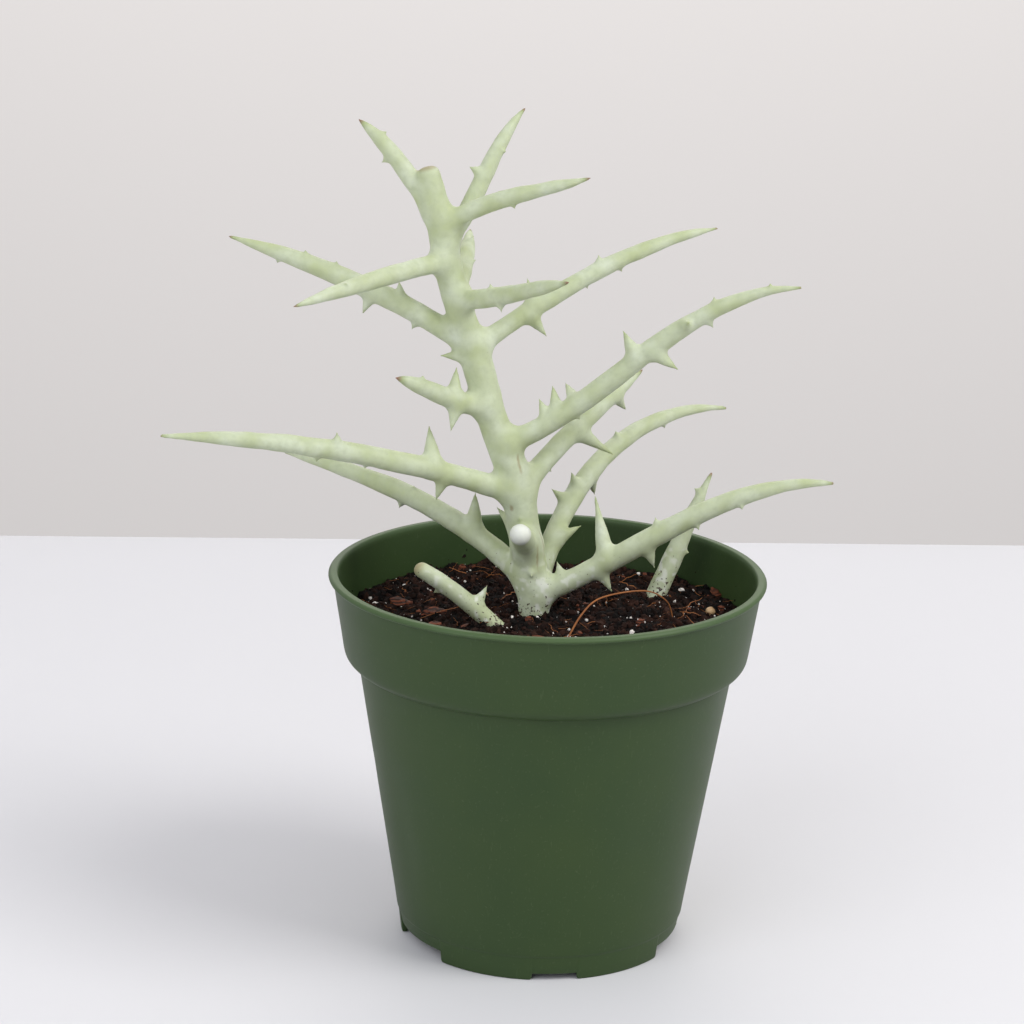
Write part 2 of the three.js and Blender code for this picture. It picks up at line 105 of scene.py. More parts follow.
def ring_faces(rings, size):
    """Quads between closed rings of points that follow one another."""
    faces = []
    for i in range(rings - 1):
        for k in range(size):
            n = (k + 1) % size
            faces.append((i * size + k, i * size + n, (i + 1) * size + n, (i + 1) * size + k))
    return faces


def ease(low, high, x):
    """Smooth step from 0 at low to 1 at high."""
    t = np.clip((x - low) / (high - low), 0, 1)
    return t * t * (3 - 2 * t)


def lumps(points, size, seed):
    """Smooth seeded noise from -1 to 1, with lumps of one size in millimetres."""
    rng = np.random.default_rng(seed)
    table = rng.uniform(-1, 1, LUMP_TABLE)
    place = np.asarray(points, float) / size + LUMP_SHIFT
    cell = np.floor(place).astype(np.int64)
    part = place - cell
    part = part * part * (3 - 2 * part)
    total = np.zeros(len(place))
    for corner in np.ndindex(2, 2, 2):
        weight = np.prod([part[:, i] if c else 1 - part[:, i] for i, c in enumerate(corner)], axis=0)
        key = (cell + corner) @ np.array([1619, 31337, 6971])
        total += weight * table[key % LUMP_TABLE]
    return total


# %% [markdown]
# ## Camera, table and light
# The plant stands on a white table in front of a pale wall, lit by large soft sources. The camera is a
# long lens a little under a metre away, looking slightly down, so the pot's ellipses stay shallow.

# %% Camera
LENS = 112.9
EYE = Vector((0.0, -0.7996, 0.3384))
YAW, PITCH, ROLL = (math.radians(a) for a in (-0.69, 15.64, 1.32))

forward = Vector((
    math.sin(YAW) * math.cos(PITCH),
    math.cos(YAW) * math.cos(PITCH),
    -math.sin(PITCH),
))
level = forward.cross(Vector((0, 0, 1))).normalized()
above = level.cross(forward)
side_axis = level * math.cos(ROLL) + above * math.sin(ROLL)
up_axis = above * math.cos(ROLL) - level * math.sin(ROLL)

camera = bpy.data.objects.new("camera", bpy.data.cameras.new("camera"))
camera.data.lens = LENS
camera.data.sensor_width = 36
camera.data.clip_start = 0.01
camera.matrix_world = Matrix.Translation(EYE) @ Matrix((side_axis, up_axis, -forward)).transposed().to_4x4()
bpy.context.scene.collection.objects.link(camera)
bpy.context.scene.camera = camera
print("camera at", tuple(round(v, 4) for v in EYE))

# %% Table and wall
# The far edge of the table runs at a slight slant to the view, and is rounded off.
TABLE_EDGE, TABLE_SKEW, TABLE_REACH = 382.0, 0.06, 4000.0
EDGE_ROUND, EDGE_FACE, TABLE_SIDE = 14.0, 40.0, 60.0
WALL_AT, WALL_LOW, WALL_HIGH, WALL_REACH = 2300.0, -2500.0, 4000.0, 6000.0


def plain_material(name, colour, roughness):
    """A matt stage material, with little gloss so that the table keeps one even tone."""
    material = bpy.data.materials.new(name)
    material.use_nodes = True
    shader = material.node_tree.nodes["Principled BSDF"]
    shader.inputs["Base Color"].default_value = linear(colour)
    shader.inputs["Roughness"].default_value = roughness
    shader.inputs["Specular IOR Level"].default_value = 0.12
    return material


def sweep_across(name, outline, half_width, material, skew=0.0):
    """A sheet that follows a side-on outline of (y, z) points, stretched from left to right."""
    points = [(x, y + skew * x, z) for y, z in outline for x in (-half_width, half_width)]
    faces = [(2 * i, 2 * i + 1, 2 * i + 3, 2 * i + 2) for i in range(len(outline) - 1)]
    sheet = make_piece(name, points, faces, material)


edge = [
    (TABLE_EDGE + EDGE_ROUND * (math.cos(a) - 1), EDGE_ROUND * (math.sin(a) - 1))
    for a in np.radians(np.linspace(90, 0, 9))
]
white_laminate = plain_material("white_laminate", "#D6D6D9", 0.6)
painted_wall = plain_material("painted_wall", "#D9D5D2", 0.9)
table_outline = [(-TABLE_REACH, 0), (TABLE_EDGE - EDGE_FACE, 0), *edge, (TABLE_EDGE, -TABLE_SIDE)]
sweep_across("table", table_outline, TABLE_REACH, white_laminate, TABLE_SKEW)
sweep_across("wall", [(WALL_AT, WALL_LOW), (WALL_AT, WALL_HIGH)], WALL_REACH, painted_wall)

# %% Light
def soft_light(name, place, aim, size, power, colour):
    lamp = bpy.data.lights.new(name, "AREA")
    lamp.size = size
    lamp.energy = power
    lamp.color = linear(colour)[:3]
    holder = bpy.data.objects.new(name, lamp)
    holder.location = place
    holder.rotation_euler = (Vector(aim) - Vector(place)).to_track_quat("-Z", "Y").to_euler()
    bpy.context.scene.collection.objects.link(holder)


soft_light("window_right", (1.1, -0.5, 1.25), (0, 0, 0.1), 0.9, 17.5, "#FFFDFA")
soft_light("fill_left", (-0.9, -1.3, 0.95), (0, -0.1, 0.05), 1.4, 13, "#F8F9FF")
soft_light("wall_wash", (0.0, 1.3, 2.2), (0, WALL_AT * MM, 1.9), 1.6, 68, "#FFFEFD")
world = bpy.data.worlds.new("room")
world.use_nodes = True
world.node_tree.nodes["Background"].inputs["Color"].default_value = linear("#F2F3F7")
world.node_tree.nodes["Background"].inputs["Strength"].default_value = 0.7
bpy.context.scene.world = world
bpy.context.scene.view_settings.view_transform = "Standard"

# %% [markdown]
# ## Finishes
# Each finish starts from the real material. The skin of this euphorbia is a waxy cuticle: the wax
# scatters light, so it looks matt and slightly blue where it is thick, and greener where it has rubbed
# off. The thorn tips are dead, dry tissue, red-brown. Attributes worked out on the mesh say where the
# tips, the soil dirt, the scars and the thickest wax are.

# %% Waxy cuticle of the stems
def new_finish(name, roughness, ior):
    """A named material, its node tree, its shader and the piece's own object coordinates."""
    material = bpy.data.materials.new(name)
    material.use_nodes = True
    tree = material.node_tree
    shader = tree.nodes["Principled BSDF"]
    shader.inputs["Roughness"].default_value = roughness
    shader.inputs["IOR"].default_value = ior
    return material, tree, shader, add(tree, "ShaderNodeTexCoord").outputs["Object"]


def waxy_cuticle():
    # Wax over a green skin: matt, since the wax scatters, with a little light passing into the flesh.
    material, tree, shader, place = new_finish("waxy_cuticle", 0.58, 1.45)
    # Wax bloom in patches about 6 mm across, and a fine mottle of about 1.5 mm.
    patches = add(tree, "ShaderNodeTexNoise", {}, {"Vector": place, "Scale": 1 / (6 * MM), "Detail": 4.0})
    mottle = add(tree, "ShaderNodeTexNoise", {}, {"Vector": place, "Scale": 1 / (1.5 * MM), "Detail": 3.0})
    patch_share = add(tree, "ShaderNodeMapRange", {}, {
        "Value": patches.outputs["Fac"], "From Min": 0.32, "From Max": 0.74,
    })
    mottle_share = add(tree, "ShaderNodeMapRange", {}, {
        "Value": mottle.outputs["Fac"], "From Min": 0.4, "From Max": 0.72, "To Max": 0.4,
    })
    green = add(tree, "ShaderNodeMix", {"data_type": "RGBA"}, {
        0: patch_share.outputs["Result"], 6: linear("#AFB98F"), 7: linear("#C7CFB9"),
    })
    waxed = add(tree, "ShaderNodeMix", {"data_type": "RGBA"}, {
        0: mottle_share.outputs["Result"], 6: green.outputs[2], 7: linear("#9AA47B"),
    })
    # Thick wax on a healed end and flaking skin at the foot are nearly white.
    wax = add(tree, "ShaderNodeAttribute", {"attribute_name": "wax"}).outputs["Fac"]
    crusted = add(tree, "ShaderNodeMix", {"data_type": "RGBA"}, {
        0: wax, 6: waxed.outputs[2], 7: linear("#DDDFD8"),
    })
    # Growth near a tip is yellow-green, and the dead point of it is red-brown.
    tip = add(tree, "ShaderNodeAttribute", {"attribute_name": "tip"}).outputs["Fac"]
    young = add(tree, "ShaderNodeMapRange", {}, {
        "Value": tip, "From Min": 0.1, "From Max": 0.6, "To Max": 0.75,
    })
    dead = add(tree, "ShaderNodeMapRange", {}, {"Value": tip, "From Min": 0.6, "From Max": 0.98})
    fresh = add(tree, "ShaderNodeMix", {"data_type": "RGBA"}, {
        0: young.outputs["Result"], 6: crusted.outputs[2], 7: linear("#93A06E"),
    })
    pointed = add(tree, "ShaderNodeMix", {"data_type": "RGBA"}, {
        0: dead.outputs["Result"], 6: fresh.outputs[2], 7: linear("#7E5548"),
    })
    # Scars are thin, dry and brown.
    scar = add(tree, "ShaderNodeAttribute", {"attribute_name": "scar"}).outputs["Fac"]
    scarred = add(tree, "ShaderNodeMix", {"data_type": "RGBA"}, {
        0: scar, 6: pointed.outputs[2], 7: linear("#8C7A55"),
    })
    # Peat dust sticks to the foot of a stem as dark grains about half a millimetre across.
    dirt = add(tree, "ShaderNodeAttribute", {"attribute_name": "dirt"}).outputs["Fac"]
    grains = add(tree, "ShaderNodeTexNoise", {}, {"Vector": place, "Scale": 1 / (0.75 * MM), "Detail": 2.0})
    shifted = add(tree, "ShaderNodeMath", {"operation": "MULTIPLY_ADD"}, {
        0: dirt, 1: 0.3, 2: grains.outputs["Fac"],
    })
    speck = add(tree, "ShaderNodeMapRange", {}, {
        "Value": shifted.outputs[0], "From Min": 0.8, "From Max": 0.83,
    })
    soiled = add(tree, "ShaderNodeMix", {"data_type": "RGBA"}, {
        0: speck.outputs["Result"], 6: scarred.outputs[2], 7: linear("#43332A"),
    })
    tree.links.new(soiled.outputs[2], shader.inputs["Base Color"])
    shader.inputs["Subsurface Weight"].default_value = 0.12
    shader.inputs["Subsurface Radius"].default_value = (1.0, 1.0, 0.5)
    shader.inputs["Subsurface Scale"].default_value = 1.2 * MM
    # Wax grains and skin cells are too fine to model, about a third of a millimetre.
    cells = add(tree, "ShaderNodeTexNoise", {}, {"Vector": place, "Scale": 1 / (0.35 * MM), "Detail": 2.0})
    relief = add(tree, "ShaderNodeBump", {}, {
        "Height": cells.outputs["Fac"], "Strength": 0.25, "Distance": 0.06 * MM,
    })
    tree.links.new(relief.outputs["Normal"], shader.inputs["Normal"])
    return material


waxy_skin = waxy_cuticle()

# %% Moulded polypropylene of the pot
def moulded_polypropylene():
    # Dark green thin-wall plastic. The satin skin of the mould gives broad soft highlights, and handling
    # leaves pale hairline scuffs and a slightly greyer film of dust.
    material, tree, shader, place = new_finish("moulded_polypropylene", 0.46, 1.49)
    shader.inputs["Specular IOR Level"].default_value = 0.3
    cloud = add(tree, "ShaderNodeTexNoise", {}, {"Vector": place, "Scale": 1 / (24 * MM), "Detail": 3.0})
    body = add(tree, "ShaderNodeMix", {"data_type": "RGBA"}, {
        0: cloud.outputs["Fac"], 6: linear("#2A3F20"), 7: linear("#354722"),
    })
    # Dust sits in grains about 0.8 mm across.
    dust = add(tree, "ShaderNodeTexNoise", {}, {"Vector": place, "Scale": 1 / (0.8 * MM), "Detail": 2.0})
    dusty = add(tree, "ShaderNodeMapRange", {}, {
        "Value": dust.outputs["Fac"], "From Min": 0.62, "From Max": 0.8, "To Max": 0.2,
    })
    dusted = add(tree, "ShaderNodeMix", {"data_type": "RGBA"}, {
        0: dusty.outputs["Result"], 6: body.outputs[2], 7: linear("#5F6B50"),
    })
    # Scuffs are upright hairlines: noise about 0.5 mm wide, drawn out thirty times in height.
    drawn = add(tree, "ShaderNodeMapping", {"vector_type": "POINT"}, {
        "Vector": place, "Scale": (1, 1, 1 / 30),
    })
    hair = add(tree, "ShaderNodeTexNoise", {}, {
        "Vector": drawn.outputs["Vector"], "Scale": 1 / (0.5 * MM), "Detail": 1.0,
    })
    scuff = add(tree, "ShaderNodeMapRange", {}, {
        "Value": hair.outputs["Fac"], "From Min": 0.7, "From Max": 0.78, "To Max": 0.3,
    })
    scuffed = add(tree, "ShaderNodeMix", {"data_type": "RGBA"}, {
        0: scuff.outputs["Result"], 6: dusted.outputs[2], 7: linear("#4A5A3C"),
    })
    # Painted highlight: the rim's upper edge is painted paler, where the edge catches the light.
    height = add(tree, "ShaderNodeSeparateXYZ", {}, {0: place})
    rim_highlight_share = add(tree, "ShaderNodeMapRange", {}, {
        "Value": height.outputs["Z"], "From Min": 96.6 * MM, "From Max": 98.6 * MM, "To Max": 0.45,
    })
    rim_highlighted = add(tree, "ShaderNodeMix", {"data_type": "RGBA"}, {
        0: rim_highlight_share.outputs["Result"], 6: scuffed.outputs[2], 7: linear("#587049"),
    })
    tree.links.new(rim_highlighted.outputs[2], shader.inputs["Base Color"])
    satin = add(tree, "ShaderNodeMapRange", {}, {
        "Value": cloud.outputs["Fac"], "To Min": 0.4, "To Max": 0.54,
    })
    tree.links.new(satin.outputs["Result"], shader.inputs["Roughness"])
    # The mould's fine texture, about 0.45 mm.
    grain = add(tree, "ShaderNodeTexNoise", {}, {"Vector": place, "Scale": 1 / (0.45 * MM), "Detail": 2.0})
    relief = add(tree, "ShaderNodeBump", {}, {
        "Height": grain.outputs["Fac"], "Strength": 0.18, "Distance": 0.05 * MM,
    })
    tree.links.new(relief.outputs["Normal"], shader.inputs["Normal"])
    return material


satin_green = moulded_polypropylene()

# %% Peat, perlite, bark, root and pebble
def moist_peat():
    # Damp sphagnum peat: almost black between the crumbs, red-brown where a crumb has dried.
    material, tree, shader, place = new_finish("moist_peat", 0.9, 1.4)
    shader.inputs["Specular IOR Level"].default_value = 0.22
    tone = add(tree, "ShaderNodeAttribute", {"attribute_name": "tone"}).outputs["Fac"]
    clod = add(tree, "ShaderNodeTexNoise", {}, {"Vector": place, "Scale": 1 / (6 * MM), "Detail": 5.0})
    mixed = add(tree, "ShaderNodeMath", {"operation": "MULTIPLY_ADD"}, {
        0: tone, 1: 0.55, 2: clod.outputs["Fac"],
    })
    dry = add(tree, "ShaderNodeMapRange", {}, {
        "Value": mixed.outputs[0], "From Min": 0.55, "From Max": 1.2,
    })
    colour = add(tree, "ShaderNodeMix", {"data_type": "RGBA"}, {
        0: dry.outputs["Result"], 6: linear("#0C0807"), 7: linear("#38221A"),
    })
    tree.links.new(colour.outputs[2], shader.inputs["Base Color"])
    fibre = add(tree, "ShaderNodeTexNoise", {}, {"Vector": place, "Scale": 1 / (0.4 * MM), "Detail": 4.0})
    relief = add(tree, "ShaderNodeBump", {}, {
        "Height": fibre.outputs["Fac"], "Strength": 0.7, "Distance": 0.3 * MM,
    })
    tree.links.new(relief.outputs["Normal"], shader.inputs["Normal"])
    return material


def expanded_perlite():
    # Foamed volcanic glass: chalk white and pitted, with peat dust in its pores.
    material, tree, shader, place = new_finish("expanded_perlite", 0.8, 1.5)
    pores = add(tree, "ShaderNodeTexVoronoi", {}, {"Vector": place, "Scale": 1 / (0.5 * MM)})
    stain = add(tree, "ShaderNodeMapRange", {}, {
        "Value": pores.outputs["Distance"], "From Min": 0.0, "From Max": 0.55, "To Min": 0.5, "To Max": 0.0,
    })
    colour = add(tree, "ShaderNodeMix", {"data_type": "RGBA"}, {
        0: stain.outputs["Result"], 6: linear("#DDD8D2"), 7: linear("#98887A"),
    })
    tree.links.new(colour.outputs[2], shader.inputs["Base Color"])
    relief = add(tree, "ShaderNodeBump", {}, {
        "Height": pores.outputs["Distance"], "Strength": 0.8, "Distance": 0.15 * MM,
    })
    tree.links.new(relief.outputs["Normal"], shader.inputs["Normal"])
    return material


def pine_bark():
    # Broken bark: corky plates about 0.6 mm thick, red-brown on the fresh break.
    material, tree, shader, place = new_finish("pine_bark", 0.82, 1.45)
    plates = add(tree, "ShaderNodeTexWave", {"bands_direction": "Z"}, {
        "Vector": place, "Scale": 0.5 / (1.2 * MM), "Distortion": 5.0, "Detail": 3.0,
    })
    tone = add(tree, "ShaderNodeAttribute", {"attribute_name": "tone"}).outputs["Fac"]
    share = add(tree, "ShaderNodeMath", {"operation": "MULTIPLY_ADD"}, {
        0: tone, 1: 0.5, 2: plates.outputs["Fac"],
    })
    colour = add(tree, "ShaderNodeMix", {"data_type": "RGBA"}, {
        0: share.outputs[0], 6: linear("#22120C"), 7: linear("#6E3820"),
    })
    tree.links.new(colour.outputs[2], shader.inputs["Base Color"])
    relief = add(tree, "ShaderNodeBump", {}, {
        "Height": plates.outputs["Fac"], "Strength": 0.6, "Distance": 0.2 * MM,
    })
    tree.links.new(relief.outputs["Normal"], shader.inputs["Normal"])
    return material


def dry_root():
    # Dead root and coir: dull straw to red-brown, changing along its length.
    material, tree, shader, place = new_finish("dry_root", 0.7, 1.45)
    along = add(tree, "ShaderNodeTexNoise", {}, {"Vector": place, "Scale": 1 / (4 * MM), "Detail": 3.0})
    colour = add(tree, "ShaderNodeMix", {"data_type": "RGBA"}, {
        0: along.outputs["Fac"], 6: linear("#6A3A20"), 7: linear("#B8763F"),
    })
    tree.links.new(colour.outputs[2], shader.inputs["Base Color"])
    return material


def worn_pebble():
    # A water-worn grain of tan quartz, slightly glossy, with paler and browner patches.
    material, tree, shader, place = new_finish("worn_pebble", 0.5, 1.54)
    patch = add(tree, "ShaderNodeTexNoise", {}, {"Vector": place, "Scale": 1 / (1.4 * MM), "Detail": 4.0})
    colour = add(tree, "ShaderNodeMix", {"data_type": "RGBA"}, {
        0: patch.outputs["Fac"], 6: linear("#8F6A42"), 7: linear("#DDBE93"),
    })
    tree.links.new(colour.outputs[2], shader.inputs["Base Color"])
    return material


peat = moist_peat()
perlite = expanded_perlite()
bark = pine_bark()
root = dry_root()
pebble = worn_pebble()
print("finishes:", [m.name for m in (waxy_skin, satin_green, peat, perlite, bark, root, pebble)])

# %% [markdown]
# ## The nursery pot
# A nursery pot is moulded from thin polypropylene in one shot, so it is a body of revolution whose every
# corner is rounded, and its drain notches are steps in the foot's lower edge. A lathe gives that shape: the
# outline is written once, as corners with a rounding, and turned about the axis. The notches are made by
# lifting the foot, which keeps the moulded corners round, and only the drain holes are cut by a Boolean.
# Thin plastic is never quite true, so the wall has shallow dents, in the mesh itself.

# %% Outline of the pot
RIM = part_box("nursery_pot")[1].x / MM
POT_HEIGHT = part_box("nursery_pot")[1].z / MM
LIP_REACH, LIP_HEIGHT = 1.4, 2.6
BAND_DROP, BAND_DRAW_IN = 20.2, 2.7
SHOULDER_DROP, SHOULDER_DRAW_IN = 3.1, 3.75
BASE, FOOT_HEIGHT, FOOT_FLARE = 36.9, 7.0, 1.1
WALL, CHANNEL, PAD, PAD_SLOPE = 1.3, 3.8, 14.0, 2.0

band_top = RIM - LIP_REACH
band_bottom = band_top - BAND_DRAW_IN
wall_top = band_bottom - SHOULDER_DRAW_IN
shoulder_top = POT_HEIGHT - BAND_DROP
shoulder_low = shoulder_top - SHOULDER_DROP
floor_top = CHANNEL + WALL
foot_top = BASE + FOOT_FLARE
wall_heights = [0, FOOT_HEIGHT, shoulder_low, shoulder_top, POT_HEIGHT - LIP_HEIGHT]
wall_radii = [BASE, foot_top, wall_top, band_bottom, band_top]
# Corners of the shoulder, as radius, height and how far each is rounded off.
shoulder = [
    (wall_top - 0.1, shoulder_low - 0.6, 0.2), (wall_top, shoulder_low + 0.05, 0.1),
    (wall_top + 0.9, shoulder_low - 0.12, 0.3),
]
for draw, climb in ((0.5, 0.13), (0.87, 0.5)):
    shoulder.append((wall_top + SHOULDER_DRAW_IN * draw, shoulder_low + SHOULDER_DROP * climb, 0.9))
shoulder.append((band_bottom, shoulder_top, 1.5))
# The shoulder runs almost level, so its inner face lies above it as well as inside it.
inner_shoulder = []
for r, z, cut in reversed(shoulder):
    inner_shoulder.append((r - WALL, z + (WALL if z > shoulder_low - 0.3 else 0), cut))


def outer_radius(height):
    return float(np.interp(height, wall_heights, wall_radii))


pot_corners = [
    (0, 0, 0), (PAD, 0, 0.4), (PAD + PAD_SLOPE, CHANNEL, 0.5),
    (outer_radius(CHANNEL) - WALL, CHANNEL, 0.5), (BASE - WALL, 0, 0.35), (BASE, 0, 0.45),
    (foot_top - 0.32, FOOT_HEIGHT - 0.6, 0.25), (foot_top + 0.06, FOOT_HEIGHT + 0.1, 0.3), *shoulder,
    (band_top + 0.1, POT_HEIGHT - LIP_HEIGHT * 0.6, 0.15), (RIM - 0.3, POT_HEIGHT - LIP_HEIGHT * 0.51, 0.2),
    (RIM, POT_HEIGHT - LIP_HEIGHT * 0.3, 0.3), (RIM - LIP_REACH * 0.45, POT_HEIGHT, 0.35),
    (band_top - WALL * 0.7, POT_HEIGHT, 0.35), (band_top - WALL, POT_HEIGHT - LIP_HEIGHT * 0.3, 0.4),
    *inner_shoulder,
    (outer_radius(floor_top) - WALL, floor_top, 1.0), (PAD + PAD_SLOPE - WALL, floor_top, 0.5),
    (PAD - WALL, WALL, 0.5), (0, WALL, 0),
]


def round_corners(corners, steps=3, longest=4.0):
    """An outline whose corners are rounded off and whose long straight stretches are divided."""
    line = []
    for i, (r, z, cut) in enumerate(corners):
        here = np.array([r, z], float)
        if cut == 0:
            line.append(here)
            continue
        before = np.array(corners[i - 1][:2]) - here
        after = np.array(corners[(i + 1) % len(corners)][:2]) - here
        first = here + before * min(cut / np.linalg.norm(before), 0.5)
        last = here + after * min(cut / np.linalg.norm(after), 0.5)
        for t in np.linspace(0, 1, steps + 1):
            line.append((1 - t) ** 2 * first + 2 * t * (1 - t) * here + t * t * last)
    fine = [line[0]]
    for a, b in zip(line, line[1:]):
        parts = max(1, math.ceil(np.linalg.norm(b - a) / longest))
        fine += [a + (b - a) * (k + 1) / parts for k in range(parts)]
    return np.array(fine)


pot_line = round_corners(pot_corners)
print("pot outline:", len(pot_line), "points")

# %% Notches, feet and dents
NOTCH_AXIS = 7.0
# Notches: arc, height, depth of the drain hole behind it, and then the same after the turn of each.
WIDE, NARROW = (34, 3.0, 5.5), (18, 1.7, 4.0)
NOTCHES = [(0, *NARROW), (67, *WIDE), (120, *NARROW), (180, *WIDE), (240, *NARROW), (293, *WIDE)]
FOOT_CORNER = 0.9
# Dents: turn from the front, height, depth, half-width round the wall, half-height.
DENTS = [(-93, 47, 0.8, 5, 3.2), (-57, 33, 0.35, 6, 15), (37, 42, 0.25, 7, 14), (150, 52, 0.4, 8, 10)]


def apart(turn, other):
    """Degrees between two turns, without sign."""
    return abs((turn - other + 180) % 360 - 180)


def foot_lift(turn):
    """How far the foot's lower edge is lifted: by a notch, or by the round corner beside it."""
    for at, arc, height, _ in NOTCHES:
        beside = math.radians(apart(turn, NOTCH_AXIS + at) - arc / 2) * BASE
        if beside <= 0:
            return height
        if beside < FOOT_CORNER:
            return FOOT_CORNER - math.sqrt(FOOT_CORNER ** 2 - (FOOT_CORNER - beside) ** 2)
    return 0.0


def wall_dent(turn, heights, radii):
    """Shift of the wall along its radius, none at the rim and in the floor."""
    shift = 0.16 * math.sin(math.radians(2 * turn + 40)) * np.ones_like(heights)
    for at, z, depth, width, tall in DENTS:
        across = math.radians(apart(turn, at)) * outer_radius(z) / width
        shift = shift - depth * np.exp(-across ** 2 - ((heights - z) / tall) ** 2)
    return shift * ease(30, 36, radii) * (1 - ease(82, 94, heights)) * ease(3, 14, heights)


turns = list(np.arange(0, 360, 1.0))
for at, arc, _, _ in NOTCHES:
    for side in (-1, 1):
        for beside in (-0.03, 0.0, 0.25, 0.55, FOOT_CORNER):
            turns.append((NOTCH_AXIS + at + side * (arc / 2 + math.degrees(beside / BASE))) % 360)
turns = sorted(turns)
middle_wall = BASE - WALL / 2 + pot_line[:, 1] * FOOT_FLARE / FOOT_HEIGHT
in_foot = (pot_line[:, 0] > BASE - WALL - 1) & (pot_line[:, 1] < FOOT_HEIGHT)
foot_reach = np.where(pot_line[:, 0] > middle_wall, FOOT_HEIGHT, CHANNEL)
in_foot &= pot_line[:, 1] < foot_reach


def lathe(line_at, turns):
    """Closed body of revolution: line_at gives the outline at a turn, from the axis to the axis."""
    points = []
    for turn in turns:
        a = math.radians(turn)
        points += [(r * math.sin(a), -r * math.cos(a), z) for r, z in line_at(turn)[1:-1]]
    rows = len(line_at(0)) - 2
    count = len(turns)
    faces = []
    for i in range(count):
        j = (i + 1) % count
        faces += [(i * rows + k, j * rows + k, j * rows + k + 1, i * rows + k + 1) for k in range(rows - 1)]
    ends = line_at(0)
    points += [(0, 0, ends[0][1]), (0, 0, ends[-1][1])]
    low, high = count * rows, count * rows + 1
    for i in range(count):
        j = (i + 1) % count
        faces.append((low, j * rows, i * rows))
        faces.append((high, i * rows + rows - 1, j * rows + rows - 1))
    return points, faces


def pot_line_at(turn):
    line = pot_line.copy()
    lift = foot_lift(turn)
    line[in_foot, 1] = lift + line[in_foot, 1] * (foot_reach[in_foot] - lift) / foot_reach[in_foot]
    line[:, 0] += wall_dent(turn, pot_line[:, 1], pot_line[:, 0])
    return line


def sector(inner, outer, low, high, middle, arc, bevel=0.0, steps=8):
    """Closed block between two radii, two heights and two turns, with its lower edges bevelled."""
    points = []
    for t in np.linspace(-0.5, 0.5, steps + 1):
        a = math.radians(middle + arc * t)
        end = bevel if abs(t) == 0.5 else 0.0
        ring = [(inner, high), (outer, high), (outer, low + bevel + end), (outer - bevel, low + end),
                (inner + bevel, low + end), (inner, low + bevel + end)]
        points += [(r * math.sin(a), -r * math.cos(a), z) for r, z in ring]
    size = len(ring)
    faces = ring_faces(steps + 1, size)
    faces.append(tuple(reversed(range(size))))
    faces.append(tuple(steps * size + k for k in range(size)))
    return points, faces


def gather(parts):
    """Several lists of points and faces as one."""
    points, faces = [], []
    for more, their in parts:
        faces += [tuple(len(points) + v for v in f) for f in their]
        points += list(more)
    return points, faces


def face_out(mesh):
    """Turn every face of a closed mesh outwards."""
    shape = bmesh.new()
    shape.from_mesh(mesh)
    bmesh.ops.recalc_face_normals(shape, faces=shape.faces)
    shape.to_mesh(mesh)
    shape.free()


# %% Turn the pot, cut the drain holes and add the inner feet
def plain_copy(source, name):
    """What an object shows once its modifiers are evaluated, as a plain object with none of them."""
    graph = bpy.context.evaluated_depsgraph_get()
    mesh = bpy.data.meshes.new_from_object(source.evaluated_get(graph), depsgraph=graph)
    mesh.name = name
    bpy.data.objects.remove(source)
    piece = bpy.data.objects.new(name, mesh)
    bpy.context.scene.collection.objects.link(piece)
    return piece


blank = make_piece("pot_blank", *lathe(pot_line_at, turns), satin_green)
face_out(blank.data)
hole_outer = BASE - WALL * 2
holes = [sector(hole_outer - depth, hole_outer, CHANNEL / 2, floor_top + WALL, NOTCH_AXIS + at, arc / 2)
         for at, arc, _, depth in NOTCHES]
drill = make_piece("hole_cutters", *gather(holes), satin_green)
face_out(drill.data)
cut = blank.modifiers.new("drain_holes", "BOOLEAN")
cut.operation = "DIFFERENCE"
cut.solver = "EXACT"
cut.object = drill
pot_shell = plain_copy(blank, "pot_shell")
bpy.data.objects.remove(drill)
INNER_FOOT_INSET, INNER_FOOT_WIDTH, INNER_FOOT_ARC, INNER_FOOT_OFFSET = 3.5, 2.0, 7.0, 6.5
inner_feet = []
foot_outer = BASE - INNER_FOOT_INSET
foot_inner = foot_outer - INNER_FOOT_WIDTH
for at, *shape in NOTCHES:
    if tuple(shape) == WIDE:
        for side in (-1, 1):
            middle = NOTCH_AXIS + at + side * (INNER_FOOT_OFFSET + shape[0] / 4)
            high = CHANNEL + WALL / 2
            inner_feet.append(sector(foot_inner, foot_outer, 0, high, middle, INNER_FOOT_ARC, 0.5))
feet = make_piece("pot_inner_feet", *gather(inner_feet), satin_green)
face_out(feet.data)
settle(pot_shell, "pot_plastic", "nursery_pot")
settle(feet, "pot_plastic")

# %% [markdown]
# ## Potting mix
# The mix is damp peat: a bed of crumbs of every size, with white perlite, splinters of bark and fine
# roots lying in it. The bed is one closed body whose top is a height map with lumps of three sizes. What
# lies on it repeats by the hundred and follows the surface, which is what Geometry Nodes are for: one
# scatter tree, used once for each kind of grain, with a random size, turn and tone for every grain.

# %% Bed of peat
SOIL_DROP, SOIL_MOUND, SOIL_GAP = 12.6, 1.6, 0.3
soil_level = POT_HEIGHT - SOIL_DROP
soil_radius = outer_radius(soil_level) - WALL - SOIL_GAP


def soil_top(x, y):
    """Height of the bed, with the frame's gentle mound and ripple and no crumbs."""
    reach = np.hypot(x, y) / soil_radius
    ripple = np.sin(0.21 * x + 0.7) * np.cos(0.17 * y - 0.4)
    return soil_level + SOIL_MOUND * ((1 - reach) * 0.6 + 0.45 * ripple * (1 - reach * 0.6))


def crumbled(x, y):
    flat = np.stack([x, y, np.zeros_like(x)], axis=1)
    return 0.8 * lumps(flat, 5.5, 21) + 0.55 * lumps(flat, 2.3, 22) + 0.35 * lumps(flat, 1.1, 23)


